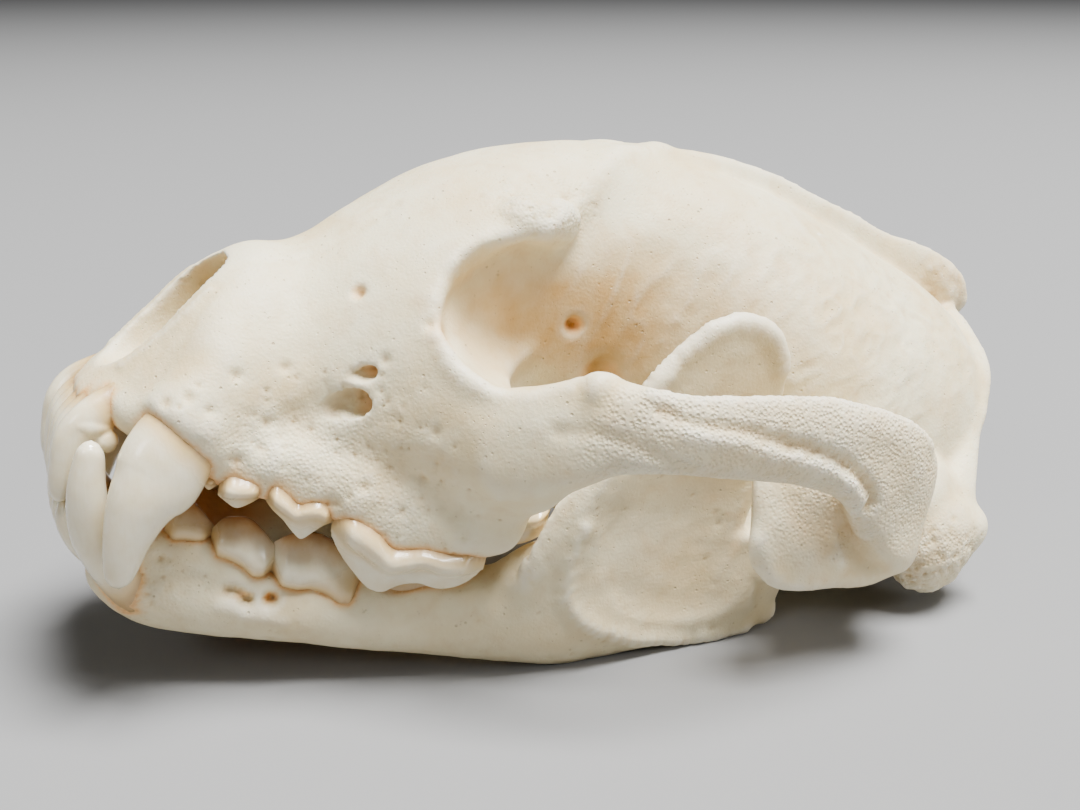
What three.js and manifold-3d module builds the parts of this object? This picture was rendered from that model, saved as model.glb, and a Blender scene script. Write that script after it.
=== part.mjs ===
// Wolverine skull with its lower jaw, adult male, life size, jaws closed.
// It lies as it would on a table, on the lower edges of the two jaw bones.
//
// Millimetres. The forms are drawn in a working frame: x runs back from the sockets of
// the front teeth, y is negative on the left side, and z = 0 is the gum line at the
// back of the upper carnassial. At the end the skull is pitched into its resting pose,
// turned with the snout to -y, and set with the floor at z = 0.

import * as THREE from 'three';
import { mergeVertices } from 'three/addons/utils/BufferGeometryUtils.js';
import Module from 'manifold-3d';

const wasm = await Module();
wasm.setup();

// Driving dimensions
const archHalf = 51;            // half the width across the zygomatic arches
const braincaseHalf = 30.5;     // half the width of the braincase
const mastoidHalf = 40.5;       // half the width across the mastoid processes
const snoutHalf = 18.4;         // half the width of the snout over the canine roots
const browHalf = 19.5;          // half the width of the forehead between the orbits
const processHalf = 22.5;       // half the width across the postorbital processes
const waistHalf = 16.5;         // half the width of the constriction behind them
const roofHeight = 61.2;        // top of the skull over the gum line
const crestEnd = 156;           // hindmost point of the sagittal crest
const restPitch = THREE.MathUtils.degToRad(14);   // snout raised by the jaw bones
const restHeight = 33.22;       // floor under the gum line, at x = restStart
const restStart = 10.35;
const partingGap = 0.3;         // thin cut between pieces that touch

// Upper tooth row, gum line at z = 0 and crowns downward
const carnassialLength = 21.5;
const carnassialBack = 56;
const upperCanineLength = 27;
const lowerCanineLength = 24;

const bone = new THREE.MeshStandardMaterial({ color: 0xe9e2d0, roughness: 0.55, metalness: 0 });
const archBone = new THREE.MeshStandardMaterial({ color: 0xe2d8c2, roughness: 0.62, metalness: 0 });
const jawBone = new THREE.MeshStandardMaterial({ color: 0xe8dfca, roughness: 0.5, metalness: 0 });

// A closed geometry as a solid, with its faces turned outwards
function solid(geometry) {
  const bare = geometry.clone();
  bare.deleteAttribute('normal');
  bare.deleteAttribute('uv');
  const merged = mergeVertices(bare, 1e-4);
  const vertProperties = new Float32Array(merged.attributes.position.array);
  const corners = Array.from(merged.index.array);
  const a = new THREE.Vector3();
  const b = new THREE.Vector3();
  const c = new THREE.Vector3();
  const kept = [];
  let volume = 0;
  for (let i = 0; i < corners.length; i += 3) {
    const [p, q, r] = corners.slice(i, i + 3);
    if (p === q || q === r || r === p) continue;
    kept.push(p, q, r);
    a.fromArray(vertProperties, 3 * p);
    b.fromArray(vertProperties, 3 * q);
    c.fromArray(vertProperties, 3 * r);
    volume += a.dot(b.cross(c));
  }
  if (volume < 0) kept.reverse();
  const triVerts = new Uint32Array(kept);
  return new wasm.Manifold(new wasm.Mesh({ numProp: 3, vertProperties, triVerts }));
}

const join = (pieces) => pieces.reduce((whole, piece) => whole.add(piece));
const cut = (body, pieces) => pieces.reduce((rest, piece) => rest.subtract(piece), body);

// The largest closed surface of a solid
function largest(body) {
  const parts = body.decompose().sort((one, other) => other.volume() - one.volume());
  return parts[0];
}

// A geometry on the left side and its mirror image on the right
function pair(geometry) {
  return [geometry, geometry.clone().scale(1, -1, 1)].map(solid);
}

// Move every point of a geometry
function reshape(geometry, move) {
  const position = geometry.attributes.position;
  const point = new THREE.Vector3();
  for (let i = 0; i < position.count; i += 1) {
    point.fromBufferAttribute(position, i);
    move(point);
    position.setXYZ(i, point.x, point.y, point.z);
  }
  return geometry;
}

// Values between the rows of a table, along its first column
function along(table) {
  const size = table[0].length;
  const places = table.map((row) => row[0]);
  const curve = new THREE.CubicInterpolant(places, table.flat(), size);
  return (place) => [...curve.evaluate(place)];
}

const bulge = (value, power) => Math.sign(value) * Math.abs(value) ** (2 / power);

// A body drawn through cross sections along x. Each row holds x, half width, top,
// bottom, squareness of the section (2 is an ellipse) and how much wider its top is.
function loft(table, steps, sides) {
  const at = along(table);
  const first = table[0][0];
  const last = table[table.length - 1][0];
  return reshape(new THREE.CylinderGeometry(1, 1, 1, sides, steps), (point) => {
    const [x, half, top, bottom, square, flare] = at(first + (last - first) * (point.y + 0.5));
    const across = bulge(point.x, square);
    const rise = bulge(point.z, square);
    const y = half * across * (1 + flare * rise);
    point.set(x, y, (top + bottom) / 2 + ((top - bottom) / 2) * rise);
  });
}

// A bent member drawn through oval sections across a curve. Each row holds the middle
// x, y, z of a section, its half thickness and its half height. The height points along
// lean, or away from the point that lean names when outward is set.
function sweep(table, steps, sides, lean, outward = false) {
  const path = new THREE.CatmullRomCurve3(table.map((row) => new THREE.Vector3(...row)));
  const sizes = along(table.map((row, i) => [i / (table.length - 1), row[3], row[4]]));
  return reshape(new THREE.CylinderGeometry(1, 1, 1, sides, steps), (point) => {
    const place = point.y + 0.5;
    const middle = path.getPoint(place);
    const ahead = path.getTangent(place);
    const [, thick, high] = sizes(place);
    const height = outward ? middle.clone().sub(lean) : lean.clone();
    const side = ahead.clone().cross(height).normalize();
    height.copy(side).cross(ahead).normalize();
    middle.addScaledVector(side, thick * point.x);
    middle.addScaledVector(height, high * point.z);
    point.copy(middle);
  });
}

const up = new THREE.Vector3(0, 0, 1);
const back = new THREE.Vector3(1, 0, 0);

// An oval lump, turned about z by a number of degrees
function lump([x, y, z], [rx, ry, rz], across = 14, turn = 0) {
  const sphere = new THREE.SphereGeometry(1, across, Math.round(across * 0.6));
  sphere.scale(rx, ry, rz).rotateZ(THREE.MathUtils.degToRad(turn));
  return sphere.translate(x, y, z);
}

// Cheek tooth: a crown drawn along the tooth row from front to back. Each cusp row
// holds the place along the tooth from 0 to 1, the crown's depth there and its half
// width. The crown hangs from the gum when grow is -1 and stands on it when grow is 1.
function cheekTooth(front, rear, cusps, grow) {
  const root = 4;
  const start = new THREE.Vector3(...front);
  const end = new THREE.Vector3(...rear);
  const at = along(cusps);
  const direction = end.clone().sub(start).setZ(0).normalize();
  const side = new THREE.Vector3(-direction.y, direction.x, 0);
  const first = cusps[0][0];
  const last = cusps[cusps.length - 1][0];
  const steps = 2 * cusps.length - 3;
  return reshape(new THREE.CylinderGeometry(1, 1, 1, 7, steps), (point) => {
    const place = first + (last - first) * (point.y + 0.5);
    const [, depth, half] = at(place);
    const middle = start.clone().lerp(end, place);
    const height = ((depth + root) / 2) * bulge(point.z, 2.6) + (depth - root) / 2;
    const slim = point.z > 0 ? 1 - 0.45 * point.z : 1;
    middle.addScaledVector(side, half * point.x * slim);
    middle.z += grow * height;
    point.copy(middle);
  });
}

// Core of the cranium, from the snout to the back of the braincase
function core() {
  const table = [
    [0, 5.4, 10.4, 7.6, 2, -0.2],
    [3, 9, 14, 6.4, 2.1, -0.26],
    [9, 15.6, 22, 4.4, 2.4, -0.36],
    [15, snoutHalf + 0.6, 29.6, 2.8, 2.7, -0.32],
    [20, snoutHalf, 33.6, 2.4, 2.5, -0.34],
    [28, 18.8, 35.6, 2.2, 2.3, -0.3],
    [36, 19, 41.8, 2, 2.4, -0.12],
    [46, browHalf - 2, 49.4, 2, 2.5, 0.14],
    [56, browHalf - 2.4, 54.6, 3, 2.5, 0.18],
    [66, waistHalf, 57.8, 6, 2.3, 0.14],
    [76, waistHalf, 59.4, 8.6, 2.1, 0.06],
    [84, 19.4, 59.4, 8.4, 2, -0.02],
    [94, 25.6, 58.8, 6, 2, -0.06],
    [104, 29.6, 57.4, 4.4, 2, -0.08],
    [114, braincaseHalf, 55, 3.6, 2, -0.12],
    [126, 30, 51.6, 3.6, 2.1, -0.16],
    [138, 28, 47.8, 4.8, 2.2, -0.16],
    [145, 24.4, 44, 7.4, 2.2, -0.14],
    [149.5, 17, 38, 12, 2.2, -0.1],
  ];
  return solid(loft(table, 30, 24));
}

// Cheeks and brow: the snout widens into the front and lower rims of the orbits
function cheeks() {
  const table = [
    [22, 17, 33, 2.8, 2.3, -0.28],
    [29, 19.4, 35.4, 1.2, 2.3, -0.2],
    [35, 23.2, 40.2, 0.4, 2.3, -0.14],
    [42, 28.8, 45.6, 0, 2.3, -0.14],
    [49, 34, 50.2, 0.2, 2.4, -0.24],
    [55, 35.8, 53.6, 1, 2.4, -0.36],
    [61.5, 36.4, 56, 3, 2.4, -0.5],
  ];
  return solid(loft(table, 10, 20));
}

// Palate with the sockets of the cheek teeth, widest at the carnassials
function palate() {
  const table = [
    [16, 15, 12, 3.2, 2.6, 0],
    [22, 18.2, 12, 1.6, 2.8, -0.03],
    [30, 20.6, 12, 0.4, 2.8, -0.03],
    [38, 24.6, 13, -0.2, 2.8, -0.05],
    [48, 28.4, 13, -0.2, 2.8, -0.07],
    [56, 30.4, 13, 0, 2.8, -0.09],
    [61, 27, 12, 0.6, 2.8, -0.08],
    [66, 17, 10.6, 1.6, 2.6, 0],
    [74, 12, 9.5, 2.6, 2.4, 0],
  ];
  const vault = lump([34, 0, -1.5], [36, 15.5, 4.6], 12);
  return cut(solid(loft(table, 10, 16)), [solid(vault)]);
}

// Gum margin of the upper jaw, a wall of bone that holds the cheek teeth
function gumMargin() {
  const table = [
    [14, -15, 7.8, 2.8, 4.4],
    [25, -17.2, 6.8, 3, 4.2],
    [33.7, -19.8, 5.8, 3, 4.6],
    [39, -22.2, 4.2, 3, 5],
    [43.5, -24.2, 3, 3, 5.2],
    [50, -26.6, 3, 3.2, 5],
    [56.4, -27.8, 3.6, 3.2, 4.8],
    [60.4, -26.6, 5.4, 2.4, 3.4],
  ];
  return sweep(table, 10, 9, up);
}

// Zygomatic arch: from inside the cheek, out and back, then down to the jaw joint
function archBow() {
  const table = [
    [51, 19 - archHalf, 16, 4.6, 8.4],
    [57.5, 13.6 - archHalf, 20, 4.4, 7.8],
    [63, 9 - archHalf, 23.8, 3.4, 7],
    [71, 4.4 - archHalf, 25, 2.7, 5.6],
    [81, 2.9 - archHalf, 26, 2.7, 6.1],
    [92, 2.8 - archHalf, 26.6, 2.8, 6.6],
    [102, 3.4 - archHalf, 25.2, 3, 7.2],
    [110, 5 - archHalf, 21.6, 3.6, 9],
    [115.6, 8 - archHalf, 16, 4.2, 9.4],
    [116.5, 13 - archHalf, 12, 4.6, 8],
  ];
  return sweep(table, 20, 12, up);
}

// Stretch of the arch that is a piece of its own
const archFront = 62.2;
const archRear = 95.5;

function archZone(spare) {
  const long = archRear - archFront - 2 * spare;
  return new THREE.BoxGeometry(long, 40, 60).translate((archFront + archRear) / 2, -50, 25);
}

// Orbit hollowed between the cheek and the forehead, with its deeper rear floor
function orbit() {
  const cup = lump([60.5, -30.5, 35.4], [19.4, 16.6, 12.4], 16);
  const floor = lump([68, -26, 22], [12, 12, 11], 10);
  return [...pair(cup), ...pair(floor)];
}

// Knob of each postorbital process at the rear edge of the forehead
function postorbitalKnob() {
  return lump([57.6, 5 - processHalf, 46.6], [7.4, 5, 3.4], 10, 14);
}

// Ridge along the top of the braincase, overhanging at the back
function sagittalCrest() {
  const table = [
    [70, 0, 54, 3.6, 4],
    [90, 0, roofHeight - 4.4, 3.2, 4.4],
    [105, 0, 55.8, 2.6, 4.8],
    [120, 0, 52.4, 2.3, 5.4],
    [132, 0, 49.4, 2.3, 5.6],
    [143, 0, 48, 2.5, 5.8],
    [150.5, 0, 46.4, 2.7, 4.8],
    [crestEnd - 0.5, 0, 43.4, 1.6, 2.2],
  ];
  return solid(sweep(table, 16, 8, up));
}

// Flange round the back of the braincase, from the crest down to each mastoid
function nuchalCrest() {
  const heart = new THREE.Vector3(118, 0, 22);
  const table = [
    [150, 1, 42, 1.7, 4],
    [147, -7.4, 40.4, 1.7, 4],
    [145.4, -13.6, 38, 1.7, 4],
    [144.6, -18.4, 34.8, 1.8, 4],
    [142.8, -22, 29.6, 1.9, 4],
    [139.6, -25.6, 24, 2.2, 4],
    [136.6, -30.6, 17.6, 2.8, 4.2],
    [135.6, -34, 11, 3.2, 4.4],
  ];
  return sweep(table, 12, 8, heart, true);
}

// Rough swelling behind each ear opening
function mastoid() {
  return lump([132.4, 6 - mastoidHalf, 8.6], [8.6, 5.8, 9], 12, 12);
}

// Ear capsule, joint knuckle beside the foramen magnum and wing behind the palate
const earCapsule = () => lump([119, -17.5, 4], [13, 8, 6.4], 12, 16);
const neckKnuckle = () => lump([147, -10.2, 12], [5, 6, 7.4], 12, -18);

function pterygoidWing() {
  const table = [
    [64, -11.5, 6, 2.4, 4],
    [78, -9.5, 6, 1.8, 6.4],
    [90, -9.5, 4, 1.6, 6],
    [99, -10.5, 1.2, 1.3, 3],
  ];
  return sweep(table, 6, 6, up);
}

// Bar that carries the jaw joint, from the braincase out to the arch
function jointBar() {
  const table = [
    [112, -20, 13, 9, 8],
    [111, -30, 12.6, 9.4, 8.6],
    [111, -38, 12, 10, 9.4],
    [111.5, 7 - archHalf, 12.6, 8.5, 9],
  ];
  return sweep(table, 5, 12, up);
}

// Outer wall of the joint, which hides the knuckle of the lower jaw from the side
function jointWall() {
  const table = [
    [91.4, -40.8, 13, 1, 3],
    [95.4, -41.6, 11, 1.8, 6.4],
    [100.4, -42.4, 10, 2.4, 8.4],
    [107, -42.8, 9.8, 2.8, 9],
    [115, -41, 11.4, 3.4, 8.2],
    [120, -38, 12.4, 2.8, 6],
  ];
  return sweep(table, 6, 9, up);
}

const jointX = 102.6;
const jointZ = 4.4;
const jointRadius = 4.6;
const jointPlay = 0.9;

// A rod across the skull between two distances from the middle plane
function crossRod(x, z, radius, inner, outer, sides) {
  const rod = new THREE.CylinderGeometry(radius, radius, outer - inner, sides);
  return rod.translate(x, -(inner + outer) / 2, z);
}

// Opening of the nose: it runs level into the slanted face of the snout
function noseOpening() {
  const table = [
    [-8, 7.6, 32.4, 12, 2.3, -0.06],
    [6, 8, 32.4, 12, 2.3, -0.06],
    [18, 8.8, 31, 11, 2.3, -0.1],
    [30, 7.6, 28.6, 11.4, 2.2, -0.1],
    [38, 3, 25, 14, 2.2, 0],
  ];
  return solid(loft(table, 6, 14));
}

// Opening for the spinal cord, a short way into the braincase
function foramenMagnum() {
  const table = [
    [120, 8.6, 23, 10.6, 2, 0],
    [134, 9.4, 25, 11, 2, 0],
    [146, 9, 24.6, 11.2, 2, 0],
    [160, 9.4, 24.8, 10.6, 2, 0],
  ];
  return solid(loft(table, 5, 12));
}

// Channel for the cheek nerve, open from the side of the snout into the orbit
function cheekChannel() {
  const table = [
    [27, -26, 18, 1.6, 3.2],
    [36, -23.6, 20, 2.2, 3.8],
    [46, -23, 24, 2.4, 3.8],
    [54, -24, 29, 2.4, 3.6],
  ];
  return sweep(table, 4, 8, up);
}

// Pit of the ear opening in front of the mastoid
const earPit = () => lump([124.5, -36, 8.6], [3, 6, 3.4], 8, 0);

// Canines, upper and lower, curved and set at the corners of the snout. Each is drawn
// from its root to its worn, blunt tip.
function upperCanine() {
  const tip = 13.7 - upperCanineLength;
  const table = [
    [18, -13, 14, 4, 5],
    [12.8, -16.4, 8.6, 4.4, 7],
    [10, -18.2, 3, 4.2, 6.6],
    [8.3, -18.9, -1.6, 3.6, 4.6],
    [7.7, -19, -6.6, 3, 3.5],
    [7.2, -18.8, tip + 2.2, 2.2, 2.4],
    [7, -18.6, tip, 0.7, 0.7],
  ];
  return sweep(table, 8, 11, back);
}

function lowerCanine() {
  const tip = lowerCanineLength - 17.6;
  const table = [
    [12, -10.6, -17.6, 3.2, 3.4],
    [7.8, -12, -12.6, 3.2, 3.6],
    [4, -13.4, -7.4, 2.8, 3.2],
    [2.1, -14.2, -1.4, 2.6, 2.7],
    [1.7, -14.4, tip - 2.2, 1.8, 1.9],
    [1.6, -14.4, tip, 0.6, 0.6],
  ];
  return sweep(table, 8, 10, back);
}

// Front teeth: rows hold distance from the middle, socket x, tip z, half width, depth
function upperIncisors() {
  const rows = [
    [1.9, 2.8, -4.2, 1.7, 2.2],
    [5, 2.8, -4.8, 1.9, 2.4],
    [8.6, 2.8, -5.2, 2.2, 2.9],
  ];
  return rows.map(([side, x, tip, half, deep]) => sweep([
    [x + 4.8, -side * 0.86, 10, half * 0.8, deep],
    [x + 0.2, -side, 7.4, half, deep],
    [x - 2.4, -side, (8.4 + tip) / 2, half, deep * 0.86],
    [x - 2.4, -side * 0.98, tip + 1.6, half * 0.8, deep * 0.6],
    [x - 2.2, -side * 0.96, tip, half * 0.3, deep * 0.2],
  ], 5, 7, back));
}

function lowerIncisors() {
  const rows = [
    [1.7, 3, 1.4, 1.8],
    [4.5, 3, 1.6, 1.9],
    [7.7, 3.4, 1.8, 2],
  ];
  return rows.map(([side, x, half, deep]) => sweep([
    [x + 5, -side * 0.9, -15, half * 0.8, deep],
    [x + 1.4, -side, -11.6, half, deep],
    [x - 1, -side, -8.4, half, deep * 0.8],
    [x - 1.4, -side, -6, half * 0.4, deep * 0.3],
  ], 4, 8, back));
}

// Cheek teeth: front and rear ends at the gum line, then their cusps
function upperCheekTeeth() {
  const carnassialFront = carnassialBack - carnassialLength;
  const small = [[0, 1.2, 0.8], [0.2, 2.4, 1.8], [0.5, 3.8, 2.2], [0.8, 2.6, 1.8], [1, 1.2, 0.8]];
  const third = [[0, 1.4, 1], [0.2, 2.8, 2.4], [0.55, 6, 3], [0.8, 3.2, 2.7], [1, 1.6, 1.2]];
  const blade = [
    [0, 2, 1.6],
    [0.12, 5, 3.4],
    [0.34, 9.8, 4.2],
    [0.6, 6, 3.4],
    [0.85, 6.6, 3],
    [1, 2.4, 1.4],
  ];
  const molar = [[0, 1.6, 2.4], [0.3, 3, 3.6], [0.65, 2.6, 4.2], [1, 1.4, 3]];
  return [
    cheekTooth([18.4, -18, 3], [24.8, -19.4, 2.4], small, -1),
    cheekTooth([25, -19.3, 2.4], [34.6, -21.9, 1.4], third, -1),
    cheekTooth([carnassialFront, -22.6, 1], [carnassialBack, -29.6, 0.2], blade, -1),
    cheekTooth([58.6, -27, 0.6], [60.6, -15.6, 1.6], molar, -1),
    lump([38.6, -19, 0.4], [3.4, 3.4, 3.4], 10),
  ];
}

function lowerCheekTeeth() {
  const second = [[0, 1.4, 1], [0.25, 3, 2.1], [0.5, 4.6, 2.4], [0.8, 2.6, 2], [1, 1.2, 1]];
  const third = [[0, 1.6, 1.6], [0.25, 3.6, 2.8], [0.45, 5.6, 3], [0.8, 3.4, 3], [1, 1.6, 1.8]];
  const fourth = [[0, 1.8, 1.8], [0.2, 4.6, 3.4], [0.42, 7.6, 3.6], [0.78, 4.6, 3.6], [1, 2, 2.2]];
  const blade = [[0, 2.4, 1.6], [0.18, 5.6, 2.8], [0.45, 7.6, 3.2], [0.75, 3.6, 3], [1, 2, 2]];
  const last = [[0, 1.4, 1.4], [0.5, 2.8, 2.4], [1, 1.4, 1.4]];
  return [
    cheekTooth([13.6, -11.4, -8.2], [20.6, -13.4, -8.6], second, 1),
    cheekTooth([20.8, -13.8, -9.4], [29.4, -15.9, -11.6], third, 1),
    cheekTooth([29.6, -16.1, -12.2], [42, -19.4, -11.6], fourth, 1),
    cheekTooth([42.4, -19.4, -9.8], [61.4, -23.4, -6.4], blade, 1),
    cheekTooth([61.2, -26.4, 3.6], [65.4, -27.4, 6.4], last, 1),
  ];
}

// Body of one jaw bone, from the chin back under the ramus
function jawBody() {
  const table = [
    [6.6, -5.4, -12.6, 3.6, 2.6],
    [9, -6.4, -14.6, 6, 5.4],
    [14, -7.8, -15.8, 7.4, 7],
    [21, -10.6, -16.2, 6.4, 6.8],
    [30, -14.8, -16, 5.2, 5.8],
    [41, -18.6, -14.8, 5, 6],
    [52, -22.4, -13, 4.8, 6.6],
    [61, -25.4, -11.6, 4.2, 7.6],
    [70, -27.8, -8.3, 4, 11.2],
    [84, -29.6, -3.9, 3.2, 10.4],
    [96, -30.8, -2.8, 2.8, 8.6],
    [101, -31.2, -1.6, 2.4, 6],
  ];
  return sweep(table, 19, 10, up);
}

// Upright plate of the jaw bone with its tall coronoid process, drawn from below
function ramusPlate() {
  const table = [
    [83.6, -30, -11.6, 1.6, 9],
    [83, -30, -8.6, 2.4, 15.4],
    [81.6, -30, -3, 2.4, 19.4],
    [81.8, -30.6, 6, 2.4, 17.6],
    [84.4, -31.4, 16, 2.3, 13.6],
    [85.6, -32, 26, 2.2, 12.4],
    [86.8, -32.6, 33.4, 2, 9.8],
    [87, -33, 38, 1.7, 6.8],
    [87, -33, 40.3, 0.8, 3],
  ];
  return sweep(table, 11, 12, back);
}

// Hook at the lower rear corner of the jaw bone
function angularHook() {
  const table = [
    [88, -30.4, -9, 2, 4.8],
    [97, -30.8, -6.8, 2, 5],
    [103.4, -31, -6.2, 1.6, 3.2],
    [109, -31, -6.8, 1, 1.3],
  ];
  return sweep(table, 5, 8, up);
}

// Shallow hollow for the chewing muscle on the outer face of the ramus
const muscleHollow = () => lump([86.5, -41.4, 4], [28, 10, 24], 14, -4);

// Knuckle of the jaw joint, a rod across the end of the ramus
function jawKnuckle() {
  return crossRod(jointX, jointZ, jointRadius, 24.4, 38.4, 14);
}

// Join the neck of the knuckle to the ramus
function knuckleNeck() {
  const table = [
    [92, -30.6, 1, 2.4, 5],
    [98, -31.2, 2.6, 2.8, 4.4],
    [jointX, -31.4, jointZ, 3.4, 3.6],
  ];
  return sweep(table, 4, 10, up);
}

// One half of the lower jaw with its teeth, parted from the other at the chin
function leftJaw() {
  const boneParts = [jawBody(), ramusPlate(), angularHook(), jawKnuckle(), knuckleNeck()];
  const hollowed = cut(join(boneParts.map(solid)), [solid(muscleHollow())]);
  const teeth = [lowerCanine(), ...lowerIncisors(), ...lowerCheekTeeth()];
  const otherSide = new THREE.BoxGeometry(160, 60, 120).translate(50, 30 - partingGap / 2, 0);
  return cut(join([hollowed, ...teeth.map(solid)]), [solid(otherSide), floorUnderJaw()]);
}

// The cranium with its teeth, without the free stretches of the arches
function cranium() {
  const face = cut(join([cheeks(), palate(), ...pair(gumMargin())]), orbit());
  const grown = join([
    core(),
    face,
    sagittalCrest(),
    ...pair(postorbitalKnob()),
    ...pair(nuchalCrest()),
    ...pair(mastoid()),
    ...pair(earCapsule()),
    ...pair(neckKnuckle()),
    ...pair(pterygoidWing()),
    ...pair(jointBar()),
    ...pair(jointWall()),
    ...pair(archBow()),
  ]);
  const socket = crossRod(jointX, jointZ, jointRadius + jointPlay, 23, 39.4, 12);
  const openings = [noseOpening(), foramenMagnum(), ...pair(cheekChannel()), ...pair(earPit())];
  const hollowed = cut(grown, [...openings, ...pair(socket), ...pair(archZone(0))]);
  const teeth = [upperCanine(), ...upperIncisors(), ...upperCheekTeeth()].flatMap(pair);
  return join([hollowed, ...teeth]);
}

const arch = () => solid(archBow()).intersect(solid(archZone(partingGap)));

// From the working frame to the resting pose, with the floor at z = 0
const resting = new THREE.Matrix4()
  .makeRotationY(restPitch)
  .multiply(new THREE.Matrix4().makeTranslation(-restStart, 0, restHeight));

// Everything below the floor, cut off so that each jaw bone rests on small level flats
function floorUnderJaw() {
  const below = new THREE.BoxGeometry(300, 200, 40).translate(75, 0, -20);
  return solid(below.applyMatrix4(resting.clone().invert()));
}

// Solid back to a geometry
function geometryOf(body) {
  const mesh = body.getMesh();
  const geometry = new THREE.BufferGeometry();
  geometry.setAttribute('position', new THREE.BufferAttribute(mesh.vertProperties, 3));
  geometry.setIndex(new THREE.BufferAttribute(mesh.triVerts, 1));
  return geometry;
}

// Add one sub-part, or its mirror image on the right side
function place(group, name, body, material, mirror = false) {
  const geometry = geometryOf(largest(body));
  if (mirror) {
    geometry.scale(1, -1, 1);
    geometry.index.array.reverse();
  }
  const mesh = new THREE.Mesh(geometry.applyMatrix4(resting), material);
  mesh.name = name;
  group.add(mesh);
}

const pieces = new THREE.Group();
const jaw = leftJaw();
const bow = arch();
place(pieces, 'cranium', cranium(), bone);
place(pieces, 'zygomatic_arch_left', bow, archBone);
place(pieces, 'zygomatic_arch_right', bow, archBone, true);
place(pieces, 'mandible_left', jaw, jawBone);
place(pieces, 'mandible_right', jaw, jawBone, true);
pieces.rotation.z = Math.PI / 2;

// The origin goes under the middle of the skull, on the floor
const skull = new THREE.Group();
skull.add(pieces);
const box = new THREE.Box3().setFromObject(skull);
const middle = box.getCenter(new THREE.Vector3());
pieces.position.set(-middle.x, -middle.y, -box.min.z);

export default skull;
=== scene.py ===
# Wolverine skull with its lower jaw, a life-size museum model lying on its jaw bones.
# The forms are drawn in millimetres in a working frame: x runs back from the sockets of
# the front teeth, y is negative on the left side, and z = 0 is the gum line at the back
# of the upper carnassial. Each finished piece is then laid in its resting pose, in metres.

import itertools
import math
import random

import bmesh
import bpy
import numpy as np
from mathutils import Matrix, Vector
from mathutils.kdtree import KDTree


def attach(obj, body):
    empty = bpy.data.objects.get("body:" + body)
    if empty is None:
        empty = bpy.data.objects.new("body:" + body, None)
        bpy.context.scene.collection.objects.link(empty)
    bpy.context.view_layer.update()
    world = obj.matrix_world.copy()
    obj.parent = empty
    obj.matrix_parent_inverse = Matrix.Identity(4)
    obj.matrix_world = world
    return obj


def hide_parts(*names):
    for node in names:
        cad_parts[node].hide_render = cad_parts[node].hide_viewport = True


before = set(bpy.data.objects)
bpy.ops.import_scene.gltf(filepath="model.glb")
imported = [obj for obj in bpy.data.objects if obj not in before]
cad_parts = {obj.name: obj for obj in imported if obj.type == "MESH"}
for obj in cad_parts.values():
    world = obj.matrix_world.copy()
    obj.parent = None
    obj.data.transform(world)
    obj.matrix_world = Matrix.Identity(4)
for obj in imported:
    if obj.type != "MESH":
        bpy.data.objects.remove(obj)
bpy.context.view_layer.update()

# Driving sizes, in millimetres
ARCH_HALF = 51.0            # half the width across the cheek arches
BRAINCASE_HALF = 30.5       # half the width of the braincase
MASTOID_HALF = 40.5         # half the width across the mastoids
SNOUT_HALF = 18.4           # half the width of the snout over the canine roots
BROW_HALF = 19.5            # half the width of the forehead between the orbits
PROCESS_HALF = 22.5         # half the width across the postorbital processes
WAIST_HALF = 16.5           # half the width of the constriction behind them
ROOF_HEIGHT = 61.2          # top of the skull over the gum line
CREST_END = 156.0           # hindmost point of the sagittal crest
KNUCKLE_RADIUS = 4.6        # the jaw's knuckle, which fills its socket
KNUCKLE_INNER = 24.4        # its inner end, out from the middle plane
KNUCKLE_OUTER = 38.4        # its outer end
KNUCKLE_BACK = 102.6        # its middle, back from the front teeth
KNUCKLE_UP = 4.4            # its middle, over the gum line
REST_PITCH = math.radians(14)   # how far the gum line falls to the back as the skull lies
REST_START = 10.35          # point of the gum line that the skull is tipped about
REST_HEIGHT = 33.22         # height of that point over the table
MIDDLE_BACK = 78.498        # middle of the skull's length as it lies

MM = 0.001
RESTING = (
    Matrix.Scale(MM, 4)
    @ Matrix.Translation((0, -MIDDLE_BACK, 0))
    @ Matrix.Rotation(math.radians(90), 4, "Z")
    @ Matrix.Rotation(REST_PITCH, 4, "Y")
    @ Matrix.Translation((-REST_START, 0, REST_HEIGHT))
)

FINE = 0.55      # grain of the finished bone mesh
COARSE = 1.0                            # grain while the big forms are blended
TOOTH_GRAIN = 0.22                      # grain of a tooth blended from its lobes
MOST_FACES = 190000                     # triangles in one bone


# Helpers: pieces and modifiers

def nothing_selected():
    if bpy.context.object and bpy.context.object.mode != "OBJECT":
        bpy.ops.object.mode_set(mode="OBJECT")
    bpy.ops.object.select_all(action="DESELECT")


def pick(piece):
    nothing_selected()
    piece.select_set(True)
    bpy.context.view_layer.objects.active = piece
    return piece


def finish_with(piece, kind, **settings):
    """Give a piece a modifier and apply it."""
    pick(piece)
    modifier = piece.modifiers.new(kind.title(), kind)
    for name, value in settings.items():
        setattr(modifier, name, value)
    bpy.ops.object.modifier_apply(modifier=modifier.name)
    return piece


def weld(name, forms, grain):
    """Blend closed forms that overlap into one skin."""
    nothing_selected()
    for form in forms:
        form.select_set(True)
    bpy.context.view_layer.objects.active = forms[0]
    bpy.ops.object.join()
    whole = bpy.context.object
    whole.name = name
    return finish_with(whole, "REMESH", mode="VOXEL", voxel_size=grain, adaptivity=0)


def soften(piece, times):
    return finish_with(piece, "SMOOTH", factor=0.5, iterations=times)


def carve(body, cutters):
    """Cut forms out of a piece and clear them away."""
    for cutter in cutters:
        finish_with(body, "BOOLEAN", operation="DIFFERENCE", solver="MANIFOLD", object=cutter)
        bpy.data.objects.remove(cutter)
    return body


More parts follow.
